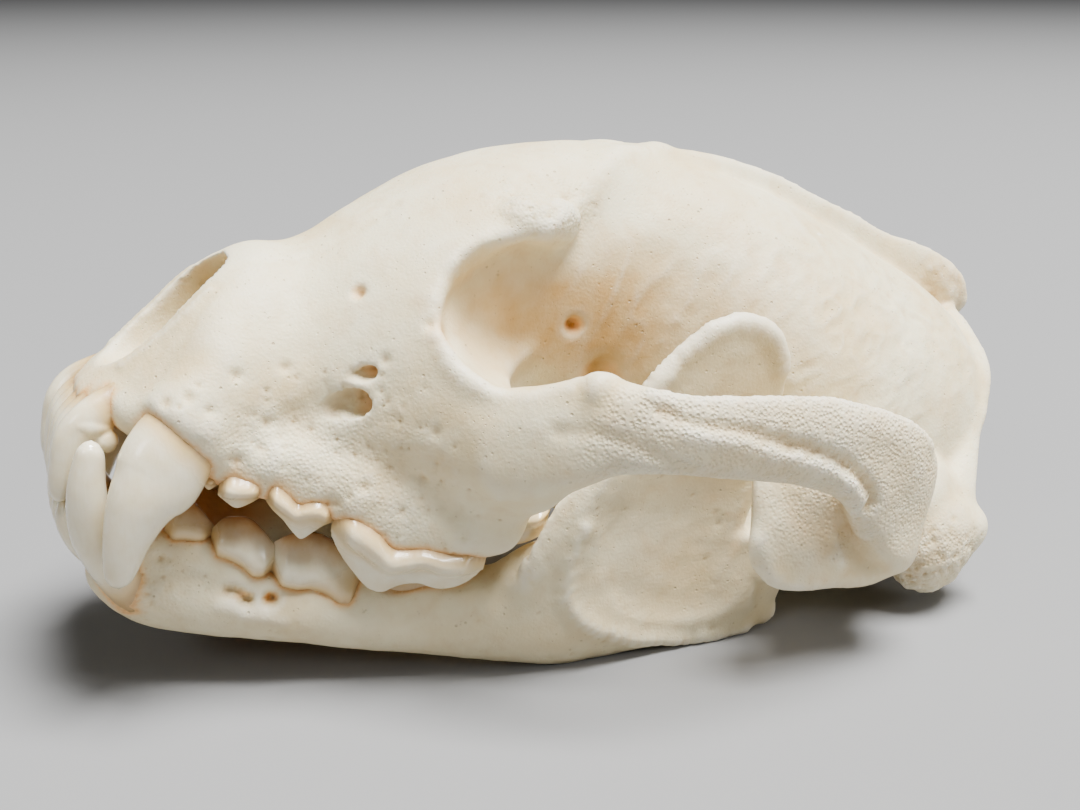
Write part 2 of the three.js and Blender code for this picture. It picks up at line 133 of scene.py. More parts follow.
def thin_out(piece):
    """Fewer triangles where the skin is flat, to keep a bone within its limit."""
    faces = 2 * len(piece.data.polygons)
    if faces > MOST_FACES:
        finish_with(piece, "DECIMATE", ratio=MOST_FACES / faces)
    return piece


# Helpers: forms drawn through sections

def points_of(piece):
    co = np.empty(3 * len(piece.data.vertices))
    piece.data.vertices.foreach_get("co", co)
    return co.reshape(-1, 3)


def normals_of(piece):
    out = np.empty(3 * len(piece.data.vertices))
    piece.data.vertex_normals.foreach_get("vector", out)
    return out.reshape(-1, 3)


def move_points(piece, co):
    piece.data.vertices.foreach_set("co", np.ascontiguousarray(co).ravel())
    piece.data.update()
    return piece


def smooth_line(places, values, at):
    """A smooth line through rows of values, read at the given places."""
    places = np.asarray(places, float)
    values = np.asarray(values, float)
    gap = np.diff(places)
    rise = np.diff(values, axis=0) / gap[:, None]
    slope = np.vstack([
        rise[:1],
        (rise[:-1] * gap[1:, None] + rise[1:] * gap[:-1, None]) / (gap[:-1] + gap[1:])[:, None],
        rise[-1:],
    ])
    k = np.clip(np.searchsorted(places, at, side="right") - 1, 0, len(gap) - 1)
    t = ((at - places[k]) / gap[k])[:, None]
    step = gap[k][:, None]
    return (
        values[k] * (1 + 2 * t) * (1 - t) ** 2
        + slope[k] * step * t * (1 - t) ** 2
        + values[k + 1] * t * t * (3 - 2 * t)
        + slope[k + 1] * step * t * t * (t - 1)
    )


def bulge(value, power):
    """A place on the unit circle, pushed out towards a square where the power is over 2."""
    return np.sign(value) * np.abs(value) ** (2 / power)


def rod(name, sides, bands):
    """An upright rod of unit radius, its side cut into level bands."""
    nothing_selected()
    bpy.ops.mesh.primitive_cylinder_add(vertices=sides, radius=1, depth=1, end_fill_type="TRIFAN")
    piece = bpy.context.object
    piece.name = name
    bpy.ops.object.mode_set(mode="EDIT")
    bpy.ops.mesh.select_all(action="DESELECT")
    mesh = bmesh.from_edit_mesh(piece.data)
    for edge in mesh.edges:
        edge.select_set(abs(edge.verts[0].co.z - edge.verts[1].co.z) > 0.5)
    bpy.ops.mesh.subdivide(number_cuts=bands - 1)
    bpy.ops.object.mode_set(mode="OBJECT")
    return piece


def outward(piece):
    """Turn every face of a closed form outwards."""
    pick(piece)
    bpy.ops.object.mode_set(mode="EDIT")
    bpy.ops.mesh.select_all(action="SELECT")
    bpy.ops.mesh.normals_make_consistent(inside=False)
    bpy.ops.object.mode_set(mode="OBJECT")
    return piece


def body_form(name, rows, sides=40, bands=60):
    """A form across the middle plane. Rows: x, half width, top, bottom, squareness
    (2 is an oval) and how much wider the top is than the middle."""
    rows = np.asarray(rows, float)
    piece = rod(name, sides, bands)
    co = points_of(piece)
    place = rows[0, 0] + (rows[-1, 0] - rows[0, 0]) * (co[:, 2] + 0.5)
    half, top, bottom, square, flare = smooth_line(rows[:, 0], rows[:, 1:], place).T
    across = bulge(co[:, 0], square)
    rise = bulge(co[:, 1], square)
    middle = (top + bottom) / 2
    height = middle + (top - bottom) / 2 * rise
    move_points(piece, np.column_stack([place, half * across * (1 + flare * rise), height]))
    return outward(piece)


def limb_form(name, rows, sides=20, bands=40, lean=(0, 0, 1), away_from=None, square=2.0):
    """A bent form. Rows: middle x, y, z, half thickness and half height, which points
    along lean, or away from a heart point."""
    rows = np.asarray(rows, float)
    piece = rod(name, sides, bands)
    co = points_of(piece)
    index = np.arange(len(rows), dtype=float)
    at = (co[:, 2] + 0.5) * (len(rows) - 1)
    here = smooth_line(index, rows, at)
    ahead = smooth_line(index, rows, at + 0.01)[:, :3] - smooth_line(index, rows, at - 0.01)[:, :3]
    ahead /= np.linalg.norm(ahead, axis=1)[:, None]
    middle = here[:, :3]
    height = middle - np.array(away_from, float) if away_from else np.tile(lean, (len(co), 1))
    side = np.cross(ahead, height)
    side /= np.linalg.norm(side, axis=1)[:, None]
    height = np.cross(side, ahead)
    thick = here[:, 3:4] * bulge(co[:, :1], square)
    high = here[:, 4:5] * bulge(co[:, 1:2], square)
    move_points(piece, middle + side * thick + height * high)
    return outward(piece)


def lump(name, middle, radii, turn=0.0):
    """A ball stretched to its radii and turned about the upright axis, in degrees."""
    nothing_selected()
    bpy.ops.mesh.primitive_uv_sphere_add(
        segments=32, ring_count=20, radius=1, location=middle, scale=radii,
        rotation=(0, 0, math.radians(turn)),
    )
    piece = bpy.context.object
    piece.name = name
    bpy.ops.object.transform_apply()
    return piece


def other_side(piece):
    """The mirror image of a form, on the right side."""
    copy = piece.copy()
    copy.data = piece.data.copy()
    bpy.context.collection.objects.link(copy)
    copy.data.transform(Matrix.Diagonal((1, -1, 1, 1)))
    copy.data.flip_normals()
    return copy


def both(*forms):
    """Each form with its mirror image."""
    return [side for form in forms for side in (form, other_side(form))]


# Helpers: working the surface of a bone

SCRAMBLE = np.array((73856093, 19349663, 83492791))     # large odd numbers that hash a cell
MASK = 0xFFFFFF


def lumpiness(co, size, seed):
    """Smooth noise between -1 and 1, with lumps of the given size."""
    at = co / size
    low = np.floor(at).astype(np.int64)
    part = at - low
    part = part * part * (3 - 2 * part)
    total = np.zeros(len(co))
    for corner in itertools.product((0, 1), repeat=3):
        cell = low + corner
        share = np.prod(np.where(corner, part, 1 - part), axis=1)
        mixed = (np.bitwise_xor.reduce(cell * SCRAMBLE, axis=1) ^ (seed * 2654435)) & MASK
        mixed = (mixed * (mixed * mixed % 15731 + 7893) + 13763125) & MASK
        total += share * (mixed / (MASK // 2) - 1)
    return total


def layered(co, size, seed, layers=3):
    """Noise with finer and finer lumps laid over the first ones."""
    total = np.zeros(len(co))
    for layer in range(layers):
        total += lumpiness(co / 0.5 ** layer, size, seed + layer) * 0.55 ** layer
    return total


def stretched(co, along, times):
    """Points squeezed along a direction, so that noise runs long that way."""
    along = np.asarray(along, float)
    along /= np.linalg.norm(along)
    return co - (co @ along)[:, None] * along * (1 - 1 / times)


def zone(co, middle, radii, edge=0.35):
    """1 well inside an oval on the left side or its mirror image, 0 outside it."""
    left = co * (1, -1, 1)
    left[:, 1] = -np.abs(left[:, 1])
    far = np.linalg.norm((left - middle) / radii, axis=1)
    return np.clip((1 - far) / edge, 0, 1)


class Skin:
    """The points of a bone while its surface is worked. Marks are made on the left side,
    and on the right side too where the bone has one."""

    def __init__(self, piece, sides=(1, -1)):
        self.piece = piece
        self.sides = sides
        self.co = points_of(piece)
        self.out = normals_of(piece)

    def settle(self):
        move_points(self.piece, self.co)
        self.out = normals_of(self.piece)

    def closeness(self, path, width, side):
        """Points near a path over the skin, and how near: 1 on it, 0 away from it."""
        path = np.asarray(path, float) * (1, side, 1)
        if len(path) > 1:
            steps = np.linspace(0, len(path) - 1, 10 * len(path))
            path = smooth_line(np.arange(len(path)), path, steps)
        reach = 2.2 * width + 2
        inside = np.all((self.co > path.min(0) - reach) & (self.co < path.max(0) + reach), axis=1)
        index = np.flatnonzero(inside)
        co = self.co[index]
        feet = np.array([np.argmin(((co - place) ** 2).sum(axis=1)) for place in path])
        gap = np.full(len(co), np.inf)
        facing = np.zeros(len(co))
        for foot in np.unique(feet):
            far = ((co - co[foot]) ** 2).sum(axis=1)
            nearer = far < gap
            gap[nearer] = far[nearer]
            facing[nearer] = (self.out[index] @ self.out[index[foot]])[nearer]
        return index, np.exp(-gap / width ** 2) * np.clip(1.5 * facing, 0, 1)

    def stroke(self, path, width, height):
        """Raise a ridge along a path over the skin, or press a groove where height < 0."""
        for side in self.sides:
            index, share = self.closeness(path, width, side)
            self.co[index] += self.out[index] * (height * share)[:, None]

    def pits(self, places, size, depth):
        """Small round holes, pressed straight in."""
        for side in self.sides:
            for place in places:
                index, share = self.closeness([place], size, side)
                self.co[index] -= self.out[index] * (depth * share ** 0.6)[:, None]

    def scatter(self, weight, count, size, depth, seed):
        """Many small pits of varied size where the weight is high."""
        order = np.argsort(self.co[:, 0])
        along = self.co[order, 0]
        draw = random.Random(seed)
        places = draw.choices(range(len(self.co)), weights=weight.tolist(), k=count)
        for place in places:
            wide = size * draw.uniform(0.6, 1.4)
            middle = self.co[place].copy()
            low, high = np.searchsorted(along, (middle[0] - 2 * wide, middle[0] + 2 * wide))
            index = order[low:high]
            far = ((self.co[index] - middle) ** 2).sum(axis=1)
            share = np.exp(-far / wide ** 2) * (far < 4 * wide ** 2)
            self.co[index] -= self.out[place] * (depth * draw.uniform(0.5, 1.3) * share)[:, None]

    def roughen(self, weight, size, height, seed, layers=3, along=None):
        """Even lumps, or lumps drawn out along a direction."""
        co = stretched(self.co, along, 3) if along else self.co
        self.co += self.out * (height * weight * layered(co, size, seed, layers))[:, None]

    def wrinkle(self, weight, size, height, seed, along):
        """Low winding creases that mostly run along a direction."""
        noise = lumpiness(stretched(self.co, along, 2.5), size, seed)
        self.co += self.out * (height * weight * (0.5 - np.abs(noise) * 2))[:, None]


def paint(piece, name, values):
    """Keep a value for each point of a piece, for its material."""
    mark = piece.data.attributes.new(name, "FLOAT", "POINT")
    mark.data.foreach_set("value", np.clip(values, 0, 1).astype(np.float32))


GROOVE_DEPTH = 0.35         # depth of a groove that gets the full painted shade


def hollowness(piece):
    """How sunken each point is below the smoothed skin, in parts of a groove's depth. The bone's
    material gives painted shade where it is sunken and a painted highlight where it is raised.
    """
    copy = piece.copy()
    copy.data = piece.data.copy()
    bpy.context.collection.objects.link(copy)
    soften(copy, 14)
    sunk = ((points_of(copy) - points_of(piece)) * normals_of(piece)).sum(axis=1)
    bpy.data.objects.remove(copy)
    return sunk / GROOVE_DEPTH


def tree_of(co):
    """Points sorted for finding the nearest one."""
    tree = KDTree(len(co))
    for index, place in enumerate(co):
        tree.insert(place, index)
    tree.balance()
    return tree


def gap_to(tree, co, reach):
    """Distance from each point to the nearest point of a tree, up to a reach."""
    return np.minimum([tree.find(place)[2] for place in co], reach)


# The big forms of the cranium

def core():
    """The long middle form, from the nose over the braincase to the back."""
    return body_form("core", [
        (0, 5.4, 10.4, 7.6, 2, -0.2),
        (3, 9, 14, 6.4, 2.1, -0.26),
        (9, 15.6, 22, 4.4, 2.4, -0.36),
        (15, SNOUT_HALF + 0.6, 29.6, 2.8, 2.7, -0.32),
        (20, SNOUT_HALF, 33.6, 2.4, 2.5, -0.34),
        (28, 18.8, 35.6, 2.2, 2.3, -0.3),
        (36, 19, 41.8, 2, 2.4, -0.12),
        (46, BROW_HALF - 2, 49.4, 2, 2.5, 0.14),
        (56, BROW_HALF - 2.4, 54.6, 3, 2.5, 0.18),
        (66, WAIST_HALF, 57.8, 6, 2.3, 0.14),
        (76, WAIST_HALF, 59.4, 8.6, 2.1, 0.06),
        (84, 19.4, 59.4, 8.4, 2, -0.02),
        (94, 25.6, 58.8, 6, 2, -0.06),
        (104, 29.6, 57.4, 4.4, 2, -0.08),
        (114, BRAINCASE_HALF, 55, 3.6, 2, -0.12),
        (126, 30, 51.6, 3.6, 2.1, -0.16),
        (138, 28, 47.8, 4.8, 2.2, -0.16),
        (145, 24.4, 44, 7.4, 2.2, -0.14),
        (149.5, 17, 38, 12, 2.2, -0.1),
    ], sides=64, bands=120)


def cheeks():
    return body_form("cheeks", [
        (22, 17, 33, 2.8, 2.3, -0.28),
        (29, 19.4, 35.4, 1.2, 2.3, -0.2),
        (35, 23.2, 40.2, 0.4, 2.3, -0.14),
        (42, 28.8, 45.6, 0, 2.3, -0.14),
        (49, 34, 50.2, 0.2, 2.4, -0.24),
        (55, 35.8, 53.6, 1, 2.4, -0.36),
        (61.5, 36.4, 56, 3, 2.4, -0.5),
    ], sides=56, bands=48)


def palate():
    return body_form("palate", [
        (16, 15, 12, 3.2, 2.6, 0),
        (22, 18.2, 12, 1.6, 2.8, -0.03),
        (30, 20.6, 12, 0.4, 2.8, -0.03),
        (38, 24.6, 13, -0.2, 2.8, -0.05),
        (48, 28.4, 13, -0.2, 2.8, -0.07),
        (56, 30.4, 13, 0, 2.8, -0.09),
        (61, 27, 12, 0.6, 2.8, -0.08),
        (66, 17, 10.6, 1.6, 2.6, 0),
        (74, 12, 9.5, 2.6, 2.4, 0),
    ], sides=44, bands=40)


def gum_margin():
    return limb_form("gum_margin", [
        (16, -15.4, 7.6, 3.4, 5),
        (22, -17.2, 6.8, 3.6, 5),
        (28, -18.8, 6, 3.6, 5.2),
        (35, -21.2, 5.2, 3.6, 5),
        (39, -22.8, 4.4, 3.8, 5),
        (42.4, -24, 2.8, 4, 6.2),
        (48, -26, 2.8, 4, 5.4),
        (53, -27.8, 3.2, 4, 5),
        (57.4, -28.4, 4.4, 3.6, 4.8),
        (60.4, -26.6, 6, 2.4, 3.4),
    ], sides=28, bands=60, square=2.8)


def front_gum():
    return limb_form("front_gum", [
        (10, -13.8, 9.2, 2.8, 3.2),
        (6.8, -11.2, 9.8, 2.6, 3),
        (4.8, -8, 10.4, 2.4, 2.6),
        (3.8, -4.4, 10.6, 2.4, 2.4),
        (3.6, 0.8, 10.6, 2.4, 2.4),
    ], sides=28, square=2.4)


def canine_socket():
    """The swelling over the root of the upper canine."""
    return limb_form("canine_socket", [
        (21, -12, 21, 4.4, 5),
        (16.8, -14.6, 15, 5, 6),
        (13.8, -16.4, 10.6, 5.2, 6.9),
        (12.4, -17.2, 8.8, 5, 7),
    ], sides=28, lean=(1, 0, 0), square=2.3)


def arch_bow():
    """The cheek arch, from under the orbit back to the jaw joint."""
    return limb_form("arch_bow", [
        (51, 19 - ARCH_HALF, 16, 4.6, 8.4),
        (57.5, 13.6 - ARCH_HALF, 20, 4.4, 7.8),
        (63, 9 - ARCH_HALF, 23.8, 3.4, 7),
        (71, 4.4 - ARCH_HALF, 25, 2.7, 5.6),
        (81, 2.9 - ARCH_HALF, 26, 2.7, 6.1),
        (92, 2.8 - ARCH_HALF, 26.6, 2.8, 6.6),
        (102, 3.4 - ARCH_HALF, 25.2, 3, 7.2),
        (110, 5 - ARCH_HALF, 21.6, 3.6, 9),
        (115.6, 8 - ARCH_HALF, 16, 4.2, 9.4),
        (116.5, 13 - ARCH_HALF, 12, 4.6, 8),
    ], sides=28, bands=80, square=2.5)


def orbit_cutters():
    cup = lump("orbit_cup", (60.5, -30.5, 35.4), (19.4, 16.6, 12.4))
    floor = lump("orbit_floor", (68, -26, 22), (12, 12, 11))
    return both(cup, floor)


def sagittal_crest():
    return limb_form("sagittal_crest", [
        (70, 0, 54, 3.6, 4),
        (90, 0, ROOF_HEIGHT - 4.4, 3, 4.4),
        (105, 0, 55.8, 2.2, 4.8),
        (120, 0, 52.4, 1.8, 5.4),
        (132, 0, 49.4, 1.9, 5.6),
        (143, 0, 48, 2.3, 5.8),
        (150.5, 0, 46.4, 2.7, 4.8),
        (CREST_END - 0.5, 0, 43.4, 1.6, 2.2),
    ], bands=60)


def nuchal_crest():
    """The crest down the back edge of the braincase to the mastoid."""
    return limb_form("nuchal_crest", [
        (150, 1, 42, 1.7, 4),
        (147, -7.4, 40.4, 1.7, 4),
        (145.4, -13.6, 38, 1.7, 4),
        (144.6, -18.4, 34.8, 1.8, 4),
        (142.8, -22, 29.6, 1.9, 4),
        (139.6, -25.6, 24, 2.2, 4),
        (136.6, -30.6, 17.6, 2.8, 4.2),
        (135.6, -34, 11, 3.2, 4.4),
    ], bands=60, away_from=(118, 0, 22))


def joint_bar():
    """The cross-wise socket of the jaw joint, out to the arch."""
    return limb_form("joint_bar", [
        (112, -20, 13, 9, 8),
        (111, -30, 12.6, 9.4, 8.6),
        (111, -38, 12, 10, 9.4),
        (111.5, 7 - ARCH_HALF, 12.6, 8.5, 9),
    ])


def joint_wall():
    """The flat outer wall of the jaw joint, under the rear end of the arch."""
    return limb_form("joint_wall", [
        (91.4, -40, 12.2, 1, 6.8),
        (93.2, -40.6, 12.5, 1.8, 8.8),
        (96.6, -41.2, 12.8, 2.3, 9.8),
        (102, -42, 13, 2.7, 9.6),
        (109, -42.2, 13.2, 3, 8.6),
        (115, -41, 14, 3.2, 6.6),
        (120, -38, 15, 2.8, 5),
    ], sides=32, lean=(0, 0.3, 1), square=2.8)


def pterygoid_wing():
    """The thin wing behind the palate."""
    return limb_form("pterygoid_wing", [
        (64, -11.5, 6, 2.4, 4),
        (78, -9.5, 6, 1.8, 6.4),
        (90, -9.5, 4, 1.6, 6),
        (99, -10.5, 1.2, 1.3, 3),
    ])


def nose_cutter():
    return body_form("nose_cutter", [
        (-8, 5.4, 32.8, 13.4, 2.4, -0.04),
        (6, 5.8, 32.8, 13.4, 2.4, -0.04),
        (16, 6.8, 32.2, 12, 2.4, -0.08),
        (24, 8, 30.4, 11, 2.3, -0.12),
        (31, 7.4, 28.4, 11.4, 2.2, -0.1),
        (38, 3, 25, 14, 2.2, 0),
    ])


def nose_scrolls():
    """Thin scrolled plates and the wall between them, deep in the nose."""
    wall = limb_form("nose_wall", [(20, 0, 12, 0.5, 3), (26, 0, 19, 0.5, 11), (40, 0, 19, 0.5, 10)])
    scrolls = []
    for height, out, size in ((16, 3.2, 1.4), (20.5, 4.6, 1.7), (25, 3.6, 1.4)):
        scrolls.append(limb_form(f"scroll_{height:.0f}", [
            (23.5, -out, height, 0.3, size * 0.6),
            (27, -out, height + 0.4, 0.5, size),
            (40, -out * 0.8, height + 1, 0.6, size),
        ]))
    return [wall] + both(*scrolls)


def foramen_cutter():
    return body_form("foramen_cutter", [
        (120, 8.6, 23, 10.6, 2, 0),
        (134, 9.4, 25, 11, 2, 0),
        (146, 9, 24.6, 11.2, 2, 0),
        (160, 9.4, 24.8, 10.6, 2, 0),
    ])


def cheek_nerve_cutters():
    """The channel behind the nose has two mouths in the cheek, one over the other."""
    upper = limb_form("nerve_upper", [
        (30.4, -21.8, 19.8, 0.2, 0.3),
        (33, -22.2, 21.3, 1.2, 0.7),
        (35.6, -22.1, 22.5, 1.5, 1),
        (37.4, -21.6, 23.1, 1.1, 0.8),
        (38.6, -21.2, 23.4, 0.3, 0.3),
    ], sides=28)
    lower = limb_form("nerve_lower", [
        (28, -20.8, 14.4, 0.3, 0.4),
        (31.6, -21.4, 16.4, 1.4, 1.4),
        (35, -21.9, 17.8, 2, 1.9),
        (38, -21.6, 18.8, 1.9, 1.8),
        (40.4, -21, 19.6, 0.4, 0.4),
    ], sides=28)
    return both(upper, lower)


def cranium_lumps():
    """Rounded parts of the left side: mastoid, ear, neck joint, brow and arch."""
    return [
        lump("mastoid", (132.4, 6 - MASTOID_HALF, 8.6), (8.6, 5.8, 9), 12),
        lump("mastoid_root", (128, -29, 13), (11, 9, 10), 20),
        lump("mastoid_knob", (137.6, 6.4 - MASTOID_HALF, 11.5), (5, 4.6, 4.6)),
        lump("ear_capsule", (119, -17.5, 4), (13, 8, 6.4), 16),
        lump("ear_tube", (121, -29, 6.6), (5, 9, 4), 8),
        lump("neck_knuckle", (147, -10.2, 12), (5, 6, 7.4), -18),
        lump("neck_spur", (140.5, -20.5, 6), (4, 3.4, 8), 10),
        lump("postorbital", (58.4, 5.6 - PROCESS_HALF, 46.8), (7, 4.4, 3.6), 14),
        lump("arch_peak", (61.4, -41.7, 28.6), (3.4, 2, 2.9), 20),
    ]


def cranium():
    vault = lump("palate_vault", (34, 0, -1.5), (36, 15.5, 4.6))
    face = weld("face", [cheeks(), palate()] + both(gum_margin(), canine_socket(), front_gum()), COARSE)
    carve(face, [vault] + orbit_cutters())
    soft = weld("soft", [core(), face] + both(joint_bar(), arch_bow()), COARSE)
    soften(soft, 5)
    lumps = cranium_lumps()
    thin = both(nuchal_crest(), joint_wall(), pterygoid_wing(), *lumps)
    whole = weld("cranium_bone", [soft, sagittal_crest()] + thin, FINE * 1.2)
    soften(whole, 4)
    carve(whole, [nose_cutter(), foramen_cutter()] + cheek_nerve_cutters())
    whole = weld("cranium_bone", [whole] + nose_scrolls(), FINE)
    return soften(whole, 6)


# Working the skin of the cranium

OPTIC_HOLE = (68.1, -16.3, 32.1)
SNOUT_HOLE = (33.6, -16.2, 32.4)
ARCH_GROOVE = [
    (67.1, -47.2, 28.4), (71, -49, 27.8), (76, -50, 27.9), (80.3, -50.5, 27.6), (85.1, -50.9, 26.9),
    (90.2, -51, 26.3), (94.6, -50.9, 25.4), (98.6, -50.6, 23.8), (101.9, -50.3, 21.8),
    (103.8, -50, 19.8), (103.6, -49.6, 18.2),
]


def raise_rims(skin):
    """Rims of the orbits and the upper edge of the arch."""
    skin.stroke([(43, -26.6, 29.6), (44.4, -29.4, 26.6), (48, -33, 25), (52.6, -36.4, 25.2),
                 (56.6, -39.2, 27.4), (60, -40.6, 30)], 1.5, 0.55)
    skin.stroke([(43, -24, 34), (47.5, -19.6, 38.4), (51.6, -19.9, 42.7), (57, -21.8, 45.4)], 1.7, 0.5)
    skin.stroke([(66.2, -45.6, 30), (75, -48, 31.2), (84, -48.8, 32.2), (96, -48.2, 33),
                 (106, -47.5, 31.6), (114, -46.6, 27.6)], 1.1, 0.55)


def work_brow(skin):
    """The line from the postorbital process up to the crest, and the hollow behind it."""
    skin.stroke([(58, -21.4, 46.4), (61, -19.6, 49.4), (65.5, -14.6, 50.6), (69, -10.6, 54.4),
                 (75.2, -4.6, 58.6), (84, -1.8, 60.4)], 2.2, 0.7)
    skin.stroke([(68, -16.5, 47), (72, -14, 50), (78, -10.5, 54.6)], 4, -0.7)


def work_arch(skin):
    """The groove between the cheek bone and the temple bone, with swellings below it."""
    skin.stroke([(x, y, z - 1.8) for x, y, z in ARCH_GROOVE[1:8]], 1.7, 0.5)
    skin.stroke([(98, -50.4, 21.6), (100.6, -50, 19.6), (102, -49.6, 17), (103.4, -49, 13),
                 (104.4, -48.4, 9)], 1.7, 0.55)
    skin.settle()
    skin.stroke(ARCH_GROOVE, 0.9, -0.55)
    skin.stroke(ARCH_GROOVE[4:], 1, -0.35)
    skin.stroke([(102.5, -49.9, 27), (108, -48.8, 22.4), (111, -47.8, 16)], 3.4, -0.5)
    skin.stroke([(56.5, -41.6, 22), (60.7, -44.3, 23.6), (65.7, -46.8, 23), (73, -48.6, 21.4)], 1, -0.3)


def work_joint(skin):
    """The smooth hollow face outside the jaw joint, and the thick lip round it."""
    skin.stroke([(92.4, -42.2, 9), (94.6, -43.2, 5.6), (98, -44, 4.4), (104, -44.4, 4.4), (109, -44, 6),
                 (114, -42.8, 9)], 1.7, 0.8)
    skin.stroke([(96.6, -42.4, 15), (100, -43.6, 12.6), (104, -44, 12.6)], 3.6, -0.9)


def work_snout(skin):
    """Bulges over the tooth roots, the hollow before the cheek nerve's mouths, and the
    seams of the nose bones, faint in an old skull."""
    skin.stroke([(12.5, -18.6, 8.6), (14.6, -17.8, 14), (17, -16, 20)], 4.4, 0.6)
    skin.stroke([(24.6, -20.4, 6.6), (26, -20, 11)], 2, 0.35)
    skin.stroke([(37, -24, 3.4), (37.6, -24.6, 8)], 2, 0.4)
    skin.stroke([(52, -30.6, 2), (52.6, -31.4, 7)], 2.4, 0.4)
    skin.stroke([(26, -20.4, 13), (30, -21, 15.6), (33.4, -22, 17.6)], 2.6, -0.8)
    skin.stroke([(20, -18, 12), (25, -18.4, 14)], 4, -0.4)
    skin.stroke([(44, -26, 12), (49, -32, 10), (54, -34.6, 9.6)], 3.4, -0.4)
    skin.stroke([(17.8, -6.6, 33), (24, -7.2, 34.4), (32, -7.4, 38.4), (40, -6.4, 44)], 0.8, -0.22)
    skin.stroke([(14.6, -9, 29.6), (12, -12.4, 21), (9.4, -13.4, 14)], 1, -0.2)
    skin.stroke([(4.8, -6.6, 15.4), (9.6, -8.8, 22), (14.6, -9, 28.6)], 0.9, 0.35)


def work_back(skin):
    """The middle ridge of the back of the skull and the hollows beside it."""
    skin.stroke([(150.6, 0, 38), (150.6, 0, 33), (150, 0, 28)], 1.6, 0.8)
    skin.stroke([(150, -7, 34), (149, -8, 29)], 4, -1)
    skin.stroke([(147, -16, 28), (145, -18, 22)], 4, -0.6)


def press_holes(skin):
    """Nerve and vessel holes of the orbit and the face."""
    skin.pits([OPTIC_HOLE], 0.9, 2.2)
    skin.pits([(74.8, -15.4, 25.4), (75.6, -15.2, 23.2)], 1.7, 2.4)
    skin.pits([(44.6, -25.4, 29.4)], 1.4, 1.2)
    skin.pits([SNOUT_HOLE], 0.7, 1.1)
    skin.pits([
        (18.1, -17.9, 18.7), (25, -17.6, 20.7), (23.6, -19.9, 13), (43.8, -30.5, 17.3),
        (42.8, -27.1, 4.2), (37.5, -24.3, 6.5), (44.1, -28.6, 9.7), (20.4, -19.1, 7.6),
        (23, -19.4, 9.1), (15.2, -19.8, 13.7), (34.3, -23.8, 3.7), (32.9, -23.5, 3.5),
        (37, -23.7, 24.9), (41.5, -25.8, 30.9), (12.8, -18.2, 14.3), (10.8, -17.9, 13.1),
    ], 0.62, 0.5)


def roughen_cranium(skin):
    """Pitted upper jaw, stippled arch, wrinkled braincase, porous mastoid and crest tip."""
    snout = zone(skin.co, (34, -24, 9), (30, 14, 16))
    arch = zone(skin.co, (86, -47, 22), (36, 9, 18), 0.25)
    case = zone(skin.co, (112, -20, 36), (40, 22, 26), 0.6) * (1 - arch)
    hollow = zone(skin.co, (80, -17, 38), (18, 12, 18), 0.6)
    spongy = zone(skin.co, (131, -37, 6), (12, 9, 9), 0.3)
    brow = zone(skin.co, (59, -17.5, 49.6), (12, 10, 6), 0.6)
    crest_tip = zone(skin.co, (148, 0, 46.4), (10, 8, 8), 0.5)
    skin.roughen(1, 9, 0.16, 3)
    skin.roughen(snout, 2.4, 0.09, 11)
    skin.roughen(snout, 0.9, 0.05, 12, layers=2)
    skin.roughen(arch, 1.6, 0.035, 23, layers=2)
    skin.wrinkle(case, 3, 0.2, 31, (0.75, 0, 0.66))
    skin.wrinkle(case, 1.5, 0.13, 33, (0.6, 0, 0.8))
    skin.wrinkle(hollow, 3.4, 0.16, 37, (0.3, 0, 0.95))
    skin.roughen(brow, 1.8, 0.16, 41)
    skin.roughen(spongy, 1.7, 0.2, 43)
    skin.roughen(crest_tip, 2, 0.24, 47)
    skin.scatter(snout, 240, 0.36, 0.32, 5)
    skin.scatter(arch, 600, 0.32, 0.09, 6)
    skin.scatter(spongy, 260, 0.45, 0.3, 7)
    skin.scatter(brow, 160, 0.36, 0.2, 8)


def work_cranium(bone):
    """Ridges, grooves, holes and roughness of the cranium."""
    skin = Skin(bone)
    raise_rims(skin)
    work_brow(skin)
    work_arch(skin)
    work_joint(skin)
    work_snout(skin)
    work_back(skin)
    skin.settle()
    press_holes(skin)
    roughen_cranium(skin)
    skin.settle()


# The lower jaw

def knuckle():
    """The cross-wise roller of the jaw joint."""
    nothing_selected()
    bpy.ops.mesh.primitive_cylinder_add(
        vertices=40, radius=KNUCKLE_RADIUS, depth=KNUCKLE_OUTER - KNUCKLE_INNER,
        location=(KNUCKLE_BACK, -(KNUCKLE_INNER + KNUCKLE_OUTER) / 2, KNUCKLE_UP),
        rotation=(math.radians(90), 0, 0),
    )
    piece = bpy.context.object
    piece.name = "knuckle"
    bpy.ops.object.transform_apply()
    return piece


def jaw_body():
    return limb_form("jaw_body", [
        (6.6, -5.4, -12.6, 3.6, 2.6),
        (9, -6.4, -14.6, 6, 5.4),
        (14, -7.8, -15.8, 7.4, 7),
        (21, -10.6, -16.2, 6.4, 6.8),
        (30, -14.8, -16, 5.2, 5.8),
        (41, -18.6, -14.8, 5, 6),
        (52, -22.4, -13, 4.8, 6.6),
        (61, -25.4, -11.6, 4.2, 7.6),
        (70, -27.8, -8, 4, 10.6),
        (84, -29.6, -3.9, 3.2, 10.4),
        (96, -30.8, -2.8, 2.8, 8.6),
        (101, -31.2, -1.6, 2.4, 6),
    ], sides=32, bands=90)


def lower_gum_margin():
    return limb_form("lower_gum_margin", [
        (10, -11, -12.4, 2.6, 3.4),
        (14, -12.2, -10.4, 2.8, 3.6),
        (20, -13.6, -10.2, 2.8, 3.6),
        (26, -15.2, -13, 2.9, 3.4),
        (32, -16.8, -14.4, 3, 3.4),
        (39, -18.6, -15.2, 3, 3.6),
        (44, -20, -13.6, 3, 3.8),
        (52, -22, -12, 3, 4.2),
        (61, -24.6, -9, 3, 5),
    ], sides=28, bands=60, square=2.6)


